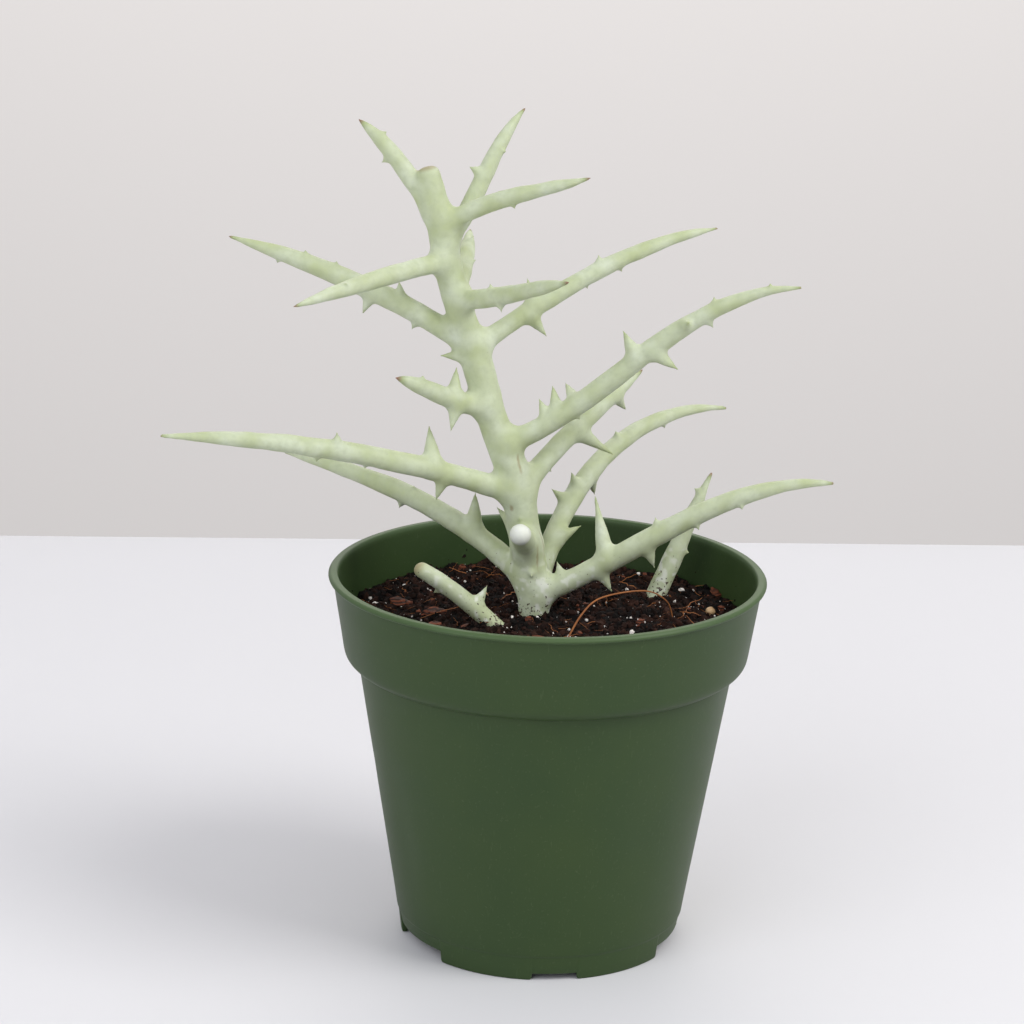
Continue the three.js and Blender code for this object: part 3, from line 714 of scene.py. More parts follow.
BED_SIDES, BED_RINGS = 360, 70
bed_turns = np.radians(np.arange(BED_SIDES))
points, faces = [], []
for r in np.linspace(soil_radius, soil_radius / BED_RINGS, BED_RINGS):
    x, y = r * np.sin(bed_turns), -r * np.cos(bed_turns)
    points += list(zip(x, y, soil_top(x, y) + crumbled(x, y)))
inset = WALL + SOIL_GAP
below = [
    (band_bottom - inset, shoulder_top + inset), (wall_top - inset, shoulder_low + inset),
    (outer_radius(floor_top) - inset, floor_top + SOIL_GAP), (PAD + PAD_SLOPE - inset, floor_top + SOIL_GAP),
    (PAD - inset, inset),
]
rings = [list(range(i * BED_SIDES, (i + 1) * BED_SIDES)) for i in range(BED_RINGS)]
for r, z in below:
    rings.insert(0, list(range(len(points), len(points) + BED_SIDES)))
    points += list(zip(r * np.sin(bed_turns), -r * np.cos(bed_turns), np.full(BED_SIDES, z)))
for lower, upper in zip(rings, rings[1:]):
    for i in range(BED_SIDES):
        j = (i + 1) % BED_SIDES
        faces.append((lower[i], lower[j], upper[j], upper[i]))
points += [(0, 0, inset), (0, 0, float(soil_top(0.0, 0.0)))]
for i in range(BED_SIDES):
    j = (i + 1) % BED_SIDES
    faces.append((rings[0][j], rings[0][i], len(points) - 2))
    faces.append((rings[-1][i], rings[-1][j], len(points) - 1))
peat_bed = make_piece("peat_bed", points, faces, peat)
face_out(peat_bed.data)
settle(peat_bed, "potting_mix", "potting_soil")

# %% A tree that scatters grains
def scatter_tree():
    """Grains on a surface: named inputs for how many, how big, how turned and of what."""
    tree = bpy.data.node_groups.new("scatter_grains", "GeometryNodeTree")
    tree.interface.new_socket("Geometry", in_out="INPUT", socket_type="NodeSocketGeometry")
    for name, kind in (("Grain", "Object"), ("Per Square Metre", "Float"), ("Smallest", "Float"),
                       ("Largest", "Float"), ("Narrowest", "Vector"), ("Least Turn", "Vector"),
                       ("Most Turn", "Vector"), ("Lift", "Float"), ("Seed", "Int"), ("Finish", "Material")):
        tree.interface.new_socket(name, in_out="INPUT", socket_type="NodeSocket" + kind)
    tree.interface.new_socket("Geometry", in_out="OUTPUT", socket_type="NodeSocketGeometry")
    given = add(tree, "NodeGroupInput").outputs
    spots = add(tree, "GeometryNodeDistributePointsOnFaces", {"distribute_method": "RANDOM"}, {
        "Mesh": given["Geometry"], "Density": given["Per Square Metre"], "Seed": given["Seed"],
    })
    # Small grains are far more common than large ones, so the even random number is cubed.
    chance = add(tree, "FunctionNodeRandomValue", {"data_type": "FLOAT"}, {8: given["Seed"]})
    rare = add(tree, "ShaderNodeMath", {"operation": "POWER"}, {0: chance.outputs[1], 1: 3.0})
    size = add(tree, "ShaderNodeMapRange", {}, {
        "Value": rare.outputs[0], "To Min": given["Smallest"], "To Max": given["Largest"],
    })
    build = add(tree, "FunctionNodeRandomValue", {"data_type": "FLOAT_VECTOR"}, {
        0: given["Narrowest"], 1: (1.0, 1.0, 1.0), 8: 7,
    })
    scale = add(tree, "ShaderNodeVectorMath", {"operation": "SCALE"}, {
        0: build.outputs[0], "Scale": size.outputs["Result"],
    })
    spin = add(tree, "FunctionNodeRandomValue", {"data_type": "FLOAT_VECTOR"}, {
        0: given["Least Turn"], 1: given["Most Turn"], 8: 11,
    })
    turned = add(tree, "FunctionNodeRotateRotation", {"rotation_space": "LOCAL"}, {
        "Rotation": spots.outputs["Rotation"], "Rotate By": spin.outputs[0],
    })
    raised = add(tree, "ShaderNodeVectorMath", {"operation": "SCALE"}, {
        0: spots.outputs["Normal"], "Scale": given["Lift"],
    })
    placed = add(tree, "GeometryNodeSetPosition", {}, {
        "Geometry": spots.outputs["Points"], "Offset": raised.outputs[0],
    })
    shade = add(tree, "FunctionNodeRandomValue", {"data_type": "FLOAT"}, {8: 13})
    toned = add(tree, "GeometryNodeStoreNamedAttribute", {"data_type": "FLOAT", "domain": "POINT"}, {
        "Geometry": placed.outputs["Geometry"], "Name": "tone", "Value": shade.outputs[1],
    })
    grain = add(tree, "GeometryNodeObjectInfo", {}, {"Object": given["Grain"]})
    grains = add(tree, "GeometryNodeInstanceOnPoints", {}, {
        "Points": toned.outputs["Geometry"], "Instance": grain.outputs["Geometry"],
        "Rotation": turned.outputs["Rotation"], "Scale": scale.outputs[0],
    })
    real = add(tree, "GeometryNodeRealizeInstances", {}, {"Geometry": grains.outputs["Instances"]})
    finished = add(tree, "GeometryNodeSetMaterial", {}, {
        "Geometry": real.outputs["Geometry"], "Material": given["Finish"],
    })
    add(tree, "NodeGroupOutput", {}, {"Geometry": finished.outputs["Geometry"]})
    return tree


scatter_grains = scatter_tree()


def scatter(name, surface, slot, **inputs):
    """Run the tree on a surface and keep its grains as one plain piece."""
    host = bpy.data.objects.new(name + "_host", surface)
    bpy.context.scene.collection.objects.link(host)
    modifier = host.modifiers.new("scatter", "NODES")
    modifier.node_group = scatter_grains
    for socket in scatter_grains.interface.items_tree:
        key = socket.name.replace(" ", "_").lower()
        if socket.in_out == "INPUT" and key in inputs:
            modifier[socket.identifier] = inputs[key]
    settle(plain_copy(host, name), slot)


# %% Grains to scatter
def grain_shape(name, rough, seed):
    """A broken grain of twenty faces, one metre across, to be scaled down where it is used."""
    shape = bmesh.new()
    bmesh.ops.create_icosphere(shape, subdivisions=1, radius=0.5)
    rng = np.random.default_rng(seed)
    for vertex in shape.verts:
        vertex.co *= 1 + rng.uniform(-rough, rough)
    mesh = bpy.data.meshes.new(name)
    shape.to_mesh(mesh)
    shape.free()
    return bpy.data.objects.new(name, mesh)


def thread_shape(name, seed):
    """A short bent fibre with three sides, one metre long."""
    rng = np.random.default_rng(seed)
    steps = 7
    bend = np.cumsum(rng.normal(0, 0.05, (steps + 1, 2)), axis=0)
    verts = []
    for i in range(steps + 1):
        thick = 0.015 * (1 - 0.6 * abs(2 * i / steps - 1))
        for k in range(3):
            a = 2 * math.pi * k / 3
            verts.append((i / steps - 0.5, bend[i, 0] + thick * math.cos(a),
                          abs(bend[i, 1]) * 0.5 + thick * math.sin(a)))
    faces = ring_faces(steps + 1, 3) + [(0, 2, 1), (3 * steps, 3 * steps + 1, 3 * steps + 2)]
    mesh = bpy.data.meshes.new(name)
    mesh.from_pydata(verts, [], faces)
    face_out(mesh)
    return bpy.data.objects.new(name, mesh)


crumb = grain_shape("crumb", 0.3, 31)
flake = grain_shape("flake", 0.25, 32)
thread = thread_shape("thread", 33)

# %% Litter on the bed and on the wall above it
LITTER_RINGS = 40
litter_turns = bed_turns[::3]
ring_size = len(litter_turns)


def scatter_base(name, points, faces):
    mesh = bpy.data.meshes.new(name)
    mesh.from_pydata((np.array(points) * MM).tolist(), [], faces)
    return mesh


top_points = []
for r in np.linspace(soil_radius - 1.0, 1.0, LITTER_RINGS):
    x, y = r * np.sin(litter_turns), -r * np.cos(litter_turns)
    top_points += list(zip(x, y, soil_top(x, y) + crumbled(x, y)))
bed_top = scatter_base("bed_top", top_points, ring_faces(LITTER_RINGS, ring_size))
wall_points = []
splash = (soil_level - 0.5, soil_level + 2.5, soil_level + 6.5)
for z in splash:
    r = outer_radius(z) - WALL
    wall_points += list(zip(r * np.sin(litter_turns), -r * np.cos(litter_turns), np.full(ring_size, z)))
# The wall faces the other way, towards the axis.
wall_faces = [(a, d, c, b) for a, b, c, d in ring_faces(len(splash), ring_size)]
inner_wall = scatter_base("inner_wall", wall_points, wall_faces)

FULL = 2 * math.pi
LYING = {"least_turn": (-0.35, -0.35, 0.0), "most_turn": (0.35, 0.35, FULL)}
TUMBLED = {"least_turn": (0.0, 0.0, 0.0), "most_turn": (FULL, FULL, FULL)}
scatter("peat_crumbs", bed_top, "potting_mix", grain=crumb, per_square_metre=0.98e6, smallest=0.5 * MM,
        largest=3.4 * MM, narrowest=(0.5, 0.5, 0.4), lift=0.1 * MM, seed=41, finish=peat, **TUMBLED)
scatter("perlite_specks", bed_top, "perlite", grain=crumb, per_square_metre=0.05e6, smallest=0.2 * MM,
        largest=1.3 * MM, narrowest=(0.7, 0.7, 0.6), lift=0.5 * MM, seed=42, finish=perlite, **TUMBLED)
scatter("bark_splinters", bed_top, "bark", grain=flake, per_square_metre=0.014e6, smallest=1.2 * MM,
        largest=5.5 * MM, narrowest=(0.6, 0.25, 0.15), lift=0.5 * MM, seed=43, finish=bark, **LYING)
scatter("fine_roots", bed_top, "root_fibre", grain=thread, per_square_metre=0.016e6, smallest=3.5 * MM,
        largest=12 * MM, narrowest=(0.7, 0.6, 0.6), lift=0.7 * MM, seed=44, finish=root, **LYING)
scatter("wall_crumbs", inner_wall, "potting_mix", grain=crumb, per_square_metre=0.05e6, smallest=0.4 * MM,
        largest=1.4 * MM, narrowest=(0.6, 0.6, 0.6), lift=0.0, seed=45, finish=peat, **TUMBLED)

# %% [markdown]
# ## Larger pieces on the soil
# The pebbles, the large perlite grains, the bark chips and two long roots have places of their own in the
# frame. A pebble is worn round, perlite is a lumpy foam and bark breaks into flat blocks, so one lumpy
# body serves them all with a different squareness and roughness. A root is a thin tapered tube.

# %% Pebbles, perlite grains and bark chips
# Pieces: size, turn, squareness, roughness, size of the lumps as a share of the piece.
LOOSE = {
    "pebble_left": ((3.4, 2.9, 2.5), 20, 1.0, 0.07, 0.9, pebble, "tan_pebble"),
    "pebble_right": ((3.2, 2.7, 2.6), 60, 1.0, 0.07, 0.9, pebble, "tan_pebble"),
    "perlite_grain_left": ((2.3, 2.0, 1.9), 35, 0.95, 0.22, 0.5, perlite, "perlite"),
    "perlite_grain_front": ((2.1, 1.8, 1.7), 80, 0.95, 0.22, 0.5, perlite, "perlite"),
    "perlite_grain_right": ((2.2, 2.0, 1.8), 10, 0.95, 0.22, 0.5, perlite, "perlite"),
    "bark_chip_large": ((6.8, 4.2, 3.0), 25, 0.6, 0.2, 0.45, bark, "bark"),
    "bark_chip_small": ((4.6, 3.0, 2.2), -40, 0.6, 0.2, 0.45, bark, "bark"),
    "bark_chip_back": ((5.2, 3.2, 2.4), 70, 0.6, 0.2, 0.45, bark, "bark"),
}
ball = bmesh.new()
bmesh.ops.create_icosphere(ball, subdivisions=4, radius=1)
ball_points = np.array([v.co[:] for v in ball.verts])
ball_faces = [[v.index for v in f.verts] for f in ball.faces]
ball.free()
for seed, (name, (size, turn, square, rough, lump, finish, slot)) in enumerate(LOOSE.items(), 51):
    low, high = (np.array(corner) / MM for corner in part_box(name))
    coarse, fine = lumps(ball_points, lump, seed), lumps(ball_points, lump / 3, seed)
    swell = 1 + rough * (coarse - 1) + 0.4 * rough * fine
    shape = np.sign(ball_points) * np.abs(ball_points) ** square * swell[:, None] * np.array(size) / 2
    c, s = math.cos(math.radians(turn)), math.sin(math.radians(turn))
    x, y = shape[:, 0] * c - shape[:, 1] * s, shape[:, 0] * s + shape[:, 1] * c
    placed = np.stack([x, y, shape[:, 2]], axis=1) + (low + high) / 2
    piece = make_piece(name + "_body", placed, ball_faces, finish)
    settle(piece, slot, name)

# %% Long roots
def tube(points, radii, sides=7):
    """A tapered tube with closed ends along a line of points."""
    along = np.gradient(points, axis=0)
    along /= np.linalg.norm(along, axis=1)[:, None]
    side = np.cross(along, (0, 0, 1))
    side /= np.linalg.norm(side, axis=1)[:, None]
    top = np.cross(side, along)
    verts = []
    for p, u, v, r in zip(points, side, top, radii):
        for a in np.linspace(0, 2 * math.pi, sides, endpoint=False):
            verts.append(p + (u * math.cos(a) + v * math.sin(a)) * r)
    faces = ring_faces(len(points), sides)
    faces.append(tuple(reversed(range(sides))))
    faces.append(tuple((len(points) - 1) * sides + k for k in range(sides)))
    return verts, faces


def smooth_path(points, count):
    """Evenly spaced points on a smooth curve through the given ones."""
    points = np.asarray(points, float)
    ends = np.vstack([2 * points[0] - points[1], points, 2 * points[-1] - points[-2]])
    t = np.linspace(0, 1, 12, endpoint=False)[:, None]
    spans = []
    for p0, p1, p2, p3 in zip(ends, ends[1:], ends[2:], ends[3:]):
        bend = p1 * 2 + t * (p2 - p0) + t * t * (2 * p0 - 5 * p1 + 4 * p2 - p3)
        spans.append(0.5 * (bend + t ** 3 * (3 * p1 - p0 - 3 * p2 + p3)))
    line = np.vstack([*spans, points[-1:]])
    along = np.r_[0, np.cumsum(np.linalg.norm(np.diff(line, axis=0), axis=1))]
    even = np.linspace(0, along[-1], count)
    return np.stack([np.interp(even, along, line[:, i]) for i in range(3)], axis=1)


# Roots: points as x, y and height above the flat soil, and the radius at the thick end.
ROOTS = {
    "root_fibre_long": (
        [(5, -22, 0.6), (9, -18, 7), (14, -13, 10), (25, -6, 10), (31, -3, 6.5), (33, -1, 1)], 0.27,
    ),
    "root_fibre_short": ([(-50, -4, 0.8), (-45, -2, 1.5), (-40, -5, 1.2), (-36, -9, 0.7)], 0.3),
}
for name, (route, thick) in ROOTS.items():
    line = smooth_path([(x, y, soil_level + rise) for x, y, rise in route], 48)
    radii = thick * (1 - 0.45 * np.linspace(0, 1, len(line)))
    piece = make_piece(name + "_strand", *tube(line, radii), root)
    settle(piece, "root_fibre", name)

# %% [markdown]
# ## The plant's skin
# A stem of this plant doesn't join the next one at an edge. The skin flows from trunk to branch to thorn
# in soft fillets. Modelling tubes and joining them would leave creases, so each stem is written as a
# distance field, a chain of tapered round segments, and the fields are merged with a rounded corner.
# A surface net through the zero level then gives one closed skin, which is parted at the collars so that
# each stem is its own piece, as the frame has them.

# %% Where the stems go
BURY_MAIN = 16.0
BURY_SHOOT = 13.0
# Main stem: height above the soil, lean to the right, radius.
MAIN = [
    (-BURY_MAIN, -4.5, 2.4), (-2, -3.5, 3.6), (8, -3.5, 4.5), (22, -6, 4.1), (37, -9, 4.5), (53, -15, 3.8),
    (68, -19.5, 4), (81, -24, 3.6), (94, -27.5, 3.6), (106, -30, 3.4), (118, -33, 2.9),
]
# Thorns on the main stem: height above the soil, compass turn, climb, length.
MAIN_THORNS = [(15, -84, -25, 1.8), (25, -104, 35, 1.6), (21, 150, 38, 7.5), (68.5, -166, 3, 5.2)]
# Branches: height of the collar, azimuth from base to tip, rise at base, middle and tip, length, radius,
# then thorns as (share of the way along, turn about the branch, length, lean to the tip).
BRANCHES = {
    "top_left_branch": (105.4, (168, 168), (51, 50, 36), 32, 2.4, [(.6, 180, 1.8, .1), (.78, 0, 1.2, -.2)]),
    "top_front_branch": (102.5, (-13, -13), (38, 18, 19), 42, 2.2, [(.48, 165, 1.1, .1)]),
    "top_back_branch": (98, (36, 38), (42, 60, 38), 42, 2.25, [(.5, -20, 2.6, 0), (.66, 110, .9, .2)]),
    "rear_upper_branch": (85, (82, 88), (24, 22, 20), 32, 2.4, [(.45, 70, 1.2, .2), (.72, 30, 1.6, .3)]),
    "upper_front_left_branch": (94, (-136, -133), (-2, -6, -8), 52, 2.35, [
        (.4, 100, .9, .2), (.66, -40, .8, .2),
    ]),
    "upper_front_right_branch": (84, (-46, -47), (9, 17, 16), 43, 2.4, [
        (.32, 0, 1.2, 0), (.38, 170, 1.8, .1),
    ]),
    "upper_left_branch": (72.4, (172, 173), (31, 21, 14), 69, 2.75, [
        (.22, 180, 2, .1), (.3, -15, 3.8, .5), (.42, 180, 4.2, 0), (.56, 0, 1, .3), (.68, -10, 1.2, .4),
        (.79, 180, 1, .1),
    ]),
    "upper_right_branch": (71.4, (19, 16), (32, 26, 7), 73, 2.35, [
        (.23, 180, 6.4, .15), (.27, -20, 5.8, .3), (.46, -160, 1.5, 0), (.53, 0, 1.8, .3),
        (.6, -170, 1.5, .1),
    ]),
    "middle_left_branch": (56.5, (-148, -147), (5, 25, 18), 30, 2.6, [
        (.36, 10, 6, .2), (.33, -165, 5.6, 0), (.72, 0, 1, .3),
    ]),
    "long_right_branch": (46.5, (-9, -8), (22, 40, 2), 90, 2.65, [
        (.15, -10, 4.2, .15), (.19, -25, 6, .3), (.25, -50, 6.4, -.1), (.24, 170, 1, 0), (.47, 15, 6.6, .3),
        (.52, 170, 6.2, .35), (.63, 80, 3.8, .5), (.7, 180, 2, .1), (.73, -10, 1.4, .4), (.9, 0, .8, .1),
    ]),
    "middle_back_branch": (33, (36, 40), (50, 33, 30), 50, 2.7, [
        (.22, 170, .9, 0), (.37, -160, .8, .5), (.47, 160, 10.2, .35), (.77, -170, 5.6, .3),
    ]),
    "long_left_branch": (33.4, (-162, -164), (21, 12, 3), 97, 2.75, [
        (.25, 20, 8.6, .3), (.22, 180, 5, 0), (.43, 180, 1, 0), (.52, -15, 2.8, .3), (.57, 180, 1.2, 0),
    ]),
    "low_front_stub": (18.5, (-98, -99), (34, 30, 26), 18, 3.1, []),
    "low_left_branch": (8.4, (157, 160), (42, 19, 7), 80, 2.9, [
        (.26, 0, 8.4, .5), (.5, -10, 1, .3), (.53, 180, 2.2, .1),
    ]),
    "low_right_branch": (6.4, (-9, -8), (23, 31, -1), 86, 2.8, [
        (.1, -10, 3.2, .1), (.25, -15, 14.6, .3), (.22, 180, 5, 0), (.38, 180, 4.8, -.2), (.43, 0, 1.8, .3),
        (.55, 160, 1.3, 0), (.7, 150, 1.2, 0),
    ]),
    "low_back_branch": (5, (70, 26), (57, 29, -9), 91, 2.6, [
        (.18, 90, 6.4, .9), (.32, -35, 3.8, 0), (.36, 0, 3.8, .15), (.43, 180, 4.4, -.2), (.5, 180, 1, 0),
        (.58, 0, 1.8, -.1), (.75, 170, 1, .2),
    ]),
}
# Shoots out of the soil: their buried end instead of a collar height.
SHOOTS = {
    "back_right_shoot": ((22.5, 18.4), (30, 28), (58, 64, 62), 52, 2.65, [
        (.55, 150, 1.2, .2), (.86, -30, 1.4, .2),
    ]),
    "front_left_shoot": ((-1, -7.2), (-174, -177), (47, 43, 28), 44.5, 2.5, [
        (.56, 15, 4.6, .2), (.78, 150, 2.4, .2),
    ]),
}
BLUNT = {"low_front_stub", "front_left_shoot"}
print("stems:", 1 + len(BRANCHES) + len(SHOOTS))

# %% Paths and tapers
SPEAR = [(0, 1.2), (.06, 1.08), (.14, 1), (.36, 1), (.58, .92), (.76, .74), (.88, .48), (.95, .25), (1, .1)]
ROUND_END = [(0, 1.2), (.1, 1.06), (.25, 1), (.6, .95), (.85, .9), (1, .8)]
TIP_RADIUS = 0.33


def compass(azimuth, climb):
    """Unit vector from a compass turn and a climb in degrees."""
    a, c = math.radians(azimuth), math.radians(climb)
    return np.array([math.cos(c) * math.cos(a), math.cos(c) * math.sin(a), math.sin(c)])


def grow_path(start, azimuth, rise, length, count):
    """Walk outwards while the azimuth runs between two values and the rise through three."""
    steps = 12
    points = [np.asarray(start, float)]
    for t in (np.arange(steps) + 0.5) / steps:
        climb = rise[0] * (1 - t) * (1 - 2 * t) + rise[1] * 4 * t * (1 - t) + rise[2] * t * (2 * t - 1)
        turn = azimuth[0] + (azimuth[1] - azimuth[0]) * t
        points.append(points[-1] + compass(turn, climb) * length / steps)
    return smooth_path(points, count)


main_path = smooth_path([(lean, 0, soil_level + height) for height, lean, _ in MAIN], 45)
main_radius = np.interp(main_path[:, 2], [soil_level + h for h, _, _ in MAIN], [r for _, _, r in MAIN])
print("main stem runs from", main_path[0].round(1), "to", main_path[-1].round(1))

# %% The distance field
VOXEL = 0.42
REACH = 5.0
stem_boxes = [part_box(n) for n in ["main_stem", *BRANCHES, *SHOOTS]]
FIELD_LOW = np.min([tuple(b[0]) for b in stem_boxes], axis=0) / MM - 4
FIELD_HIGH = np.max([tuple(b[1]) for b in stem_boxes], axis=0) / MM + 4
field_shape = np.ceil((FIELD_HIGH - FIELD_LOW) / VOXEL).astype(int) + 1
axes = [(FIELD_LOW[i] + VOXEL * np.arange(field_shape[i])).astype(np.float32) for i in range(3)]
field = np.full(field_shape, REACH, np.float32)
owner = np.zeros(field_shape, np.uint8)
print("field:", field.shape, f"{field.size / 1e6:.0f} million cells")


def window(low, high):
    """Slices of the field that hold a box."""
    first = np.clip(np.floor((low - FIELD_LOW) / VOXEL).astype(int), 0, field_shape - 1)
    last = np.clip(np.ceil((high - FIELD_LOW) / VOXEL).astype(int) + 1, 1, field_shape)
    return tuple(slice(a, b) for a, b in zip(first, last))


def chain_field(points, radii, reach):
    """Distance to a chain of tapered round segments, in the window that it fills."""
    pad = max(radii) + reach
    whole = window(points.min(0) - pad, points.max(0) + pad)
    near = np.full([s.stop - s.start for s in whole], reach, np.float32)
    for a, b, ra, rb in zip(points, points[1:], radii, radii[1:]):
        grow = max(ra, rb) + reach
        part = window(np.minimum(a, b) - grow, np.maximum(a, b) + grow)
        x, y, z = (axes[i][part[i]] - np.float32(a[i]) for i in range(3))
        x, y, z = x[:, None, None], y[None, :, None], z[None, None, :]
        d = (b - a).astype(np.float32)
        t = np.clip((x * d[0] + y * d[1] + z * d[2]) / np.float32(d @ d), 0, 1)
        gap = np.sqrt((x - t * d[0]) ** 2 + (y - t * d[1]) ** 2 + (z - t * d[2]) ** 2)
        gap -= np.float32(ra) + np.float32(rb - ra) * t
        inner = tuple(slice(p.start - w.start, p.stop - w.start) for p, w in zip(part, whole))
        near[inner] = np.minimum(near[inner], gap)
    return whole, near


def merge(whole, near, who, fillet):
    """Join a chain to the field, with a rounded fillet only where both surfaces are within its radius."""
    was = field[whole]
    owner[whole] = np.where(near < was, who, owner[whole])
    corner = np.hypot(np.maximum(fillet - was, 0), np.maximum(fillet - near, 0))
    field[whole] = np.maximum(fillet, np.minimum(was, near)) - corner


# %% Grow the stems and their thorns
COLLAR_FILLET = 2.7
LOOSE_FILLET = 0.4
PATH_POINTS = 61
tips = []
blunt_ends = {}


def grow_thorn(who, start, out, bar, length):
    """A thorn with a broad skirt, from inside its stem, of radius bar there, to a fine point."""
    out = out / np.linalg.norm(out)
    foot = min(bar * 0.82, 0.55 + length * 0.2)
    stations = [
        (bar * 0.25, foot * 1.1), (bar * 0.8, foot * 1.08), (bar + length * 0.14, foot * 0.9),
        (bar + length * 0.3, foot * 0.76), (bar + length * 0.6, foot * 0.45),
        (bar + length * 0.85, foot * 0.2),
    ]
    # On a short thorn the last stations would lie past its round end, so they are left out.
    end = bar + length - TIP_RADIUS
    stations = [(s, r) for s, r in stations if s < end - 0.15] + [(end, TIP_RADIUS)]
    radii = np.array([max(r, TIP_RADIUS) for _, r in stations])
    points = np.array([start + out * s for s, _ in stations])
    whole, near = chain_field(points, radii, 2.8)
    merge(whole, near, who, min(1.6, 0.45 + length * 0.17))
    tips.append((start + out * (bar + length), out, length, 0.35 + 0.3 * ease(2, 8, length)))


def grow_stem(name, who, path, length, radius, thorns):
    """A branch or a shoot with its thorns, and a fillet at its collar only."""
    taper = ROUND_END if name in BLUNT else SPEAR
    share = np.linspace(0, 1, len(path))
    radii = np.maximum(np.interp(share, *zip(*taper)) * radius, TIP_RADIUS)
    # The round end cap reaches one radius past the last point, so the path stops short by that much.
    keep = share * length <= length - radii[-1]
    start = int(np.argmax(share * length > 2.0)) if name in BRANCHES else 0
    whole, near = chain_field(path[keep][start:], radii[keep][start:], REACH)
    x, y, z = (axes[i][whole[i]] - np.float32(path[0][i]) for i in range(3))
    away = np.sqrt(x[:, None, None] ** 2 + y[None, :, None] ** 2 + z[None, None, :] ** 2)
    blend = COLLAR_FILLET - (COLLAR_FILLET - LOOSE_FILLET) * ease(7, 15, away).astype(np.float32)
    if name in SHOOTS:
        blend = np.float32(LOOSE_FILLET)
    merge(whole, near, who, blend)
    if name in BLUNT:
        last = path[keep][-1]
        blunt_ends[name] = (last, (last - path[keep][-4]) / np.linalg.norm(last - path[keep][-4]))
    else:
        tips.append((path[-1], path[-1] - path[-4], 9.0, 1.0))
    along = np.gradient(path, axis=0)
    for at, turn, size, lean in thorns:
        i = int(round(at * (len(path) - 1)))
        forward_axis = along[i] / np.linalg.norm(along[i])
        side = np.cross(forward_axis, (0, 0, 1))
        side /= np.linalg.norm(side)
        top = np.cross(side, forward_axis)
        angle = math.radians(turn)
        out = top * math.cos(angle) + side * math.sin(angle) + forward_axis * lean
        grow_thorn(who, path[i], out, radii[i], size)


stem_names = ["main_stem", *BRANCHES, *SHOOTS]
top_cut = main_path[-1]
whole, near = chain_field(main_path, main_radius, REACH)
lean_up = (main_path[-1] - main_path[-3]) / np.linalg.norm(main_path[-1] - main_path[-3])
x, y, z = (axes[i][whole[i]] - np.float32(top_cut[i]) for i in range(3))
past = x[:, None, None] * lean_up[0] + y[None, :, None] * lean_up[1] + z[None, None, :] * lean_up[2]
round_off = 2.4
share = np.maximum(round_off - np.abs(near - past), 0) / round_off
near = np.maximum(near, past) + share * share * round_off / 4
merge(whole, near.astype(np.float32), 0, 0.01)
for who, name in enumerate(stem_names[1:], 1):
    if name in BRANCHES:
        height, azimuth, rise, *rest = BRANCHES[name]
        start = main_path[int(np.argmin(np.abs(main_path[:, 2] - soil_level - height)))].copy()
        start[0] = np.interp(soil_level + height, main_path[:, 2], main_path[:, 0])
        start[2] = soil_level + height
    else:
        place, azimuth, rise, *rest = SHOOTS[name]
        start = np.array([*place, soil_level - BURY_SHOOT])
    grow_stem(name, who, grow_path(start, azimuth, rise, rest[0], PATH_POINTS), *rest)
for height, azimuth, climb, length in MAIN_THORNS:
    i = int(np.argmin(np.abs(main_path[:, 2] - soil_level - height)))
    grow_thorn(0, main_path[i], compass(azimuth, climb), main_radius[i], length)
print("thorns and tips:", len(tips))

# %% The surface net
def surface_net():
    """Vertices and quads on the zero level: one vertex in each cell that the surface crosses."""
    inside = field < 0
    cells_shape = np.array(field.shape) - 1
    corners = list(np.ndindex(2, 2, 2))
    count = np.zeros(cells_shape, np.uint8)
    for c in corners:
        count += inside[tuple(slice(o, o + n) for o, n in zip(c, cells_shape))]
    cells = np.argwhere((count > 0) & (count < 8))
    number = np.full(cells_shape, -1, np.int32)
    number[tuple(cells.T)] = np.arange(len(cells))
    values = np.stack([field[tuple((cells + c).T)] for c in corners], axis=1)
    total, hits = np.zeros((len(cells), 3)), np.zeros(len(cells))
    for i, a in enumerate(corners):
        for j, b in enumerate(corners):
            if j <= i or sum(abs(p - q) for p, q in zip(a, b)) != 1:
                continue
            crossed = (values[:, i] < 0) != (values[:, j] < 0)
            t = values[crossed, i] / (values[crossed, i] - values[crossed, j])
            total[crossed] += np.array(a) + t[:, None] * (np.array(b) - np.array(a))
            hits[crossed] += 1
    points = FIELD_LOW + VOXEL * (cells + total / hits[:, None])
    quads, who = [], []
    for axis in range(3):
        first = [slice(1, -1)] * 3
        first[axis] = slice(0, -1)
        second = list(first)
        second[axis] = slice(1, None)
        a, b = inside[tuple(first)], inside[tuple(second)]
        edges = np.argwhere(a != b) + [0 if i == axis else 1 for i in range(3)]
        goes_out = inside[tuple(edges.T)]
        u, v = np.eye(3, dtype=int)[(axis + 1) % 3], np.eye(3, dtype=int)[(axis + 2) % 3]
        ring = [edges - u - v, edges - v, edges, edges - u]
        face = np.stack([number[tuple(r.T)] for r in ring], axis=1)
        face[~goes_out] = face[~goes_out][:, ::-1]
        quads.append(face)
        who.append(owner[tuple(edges.T)])
    return points, np.vstack(quads), np.concatenate(who)


skin_points, skin_quads, skin_who = surface_net()
assert np.isfinite(skin_points).all()
print("skin:", len(skin_points), "vertices", len(skin_quads), "quads")

# %% Give small loose patches to the stem around them
SMALLEST_PATCH = 80


def neighbours(quads):
    """Pairs of quads that share an edge."""
    edges = np.sort(np.stack([quads, np.roll(quads, -1, axis=1)], axis=2).reshape(-1, 2), axis=1)
    key = edges[:, 0].astype(np.int64) * (int(quads.max()) + 1) + edges[:, 1]
    order = np.argsort(key, kind="stable")
    same = key[order][1:] == key[order][:-1]
    return order[:-1][same] // 4, order[1:][same] // 4


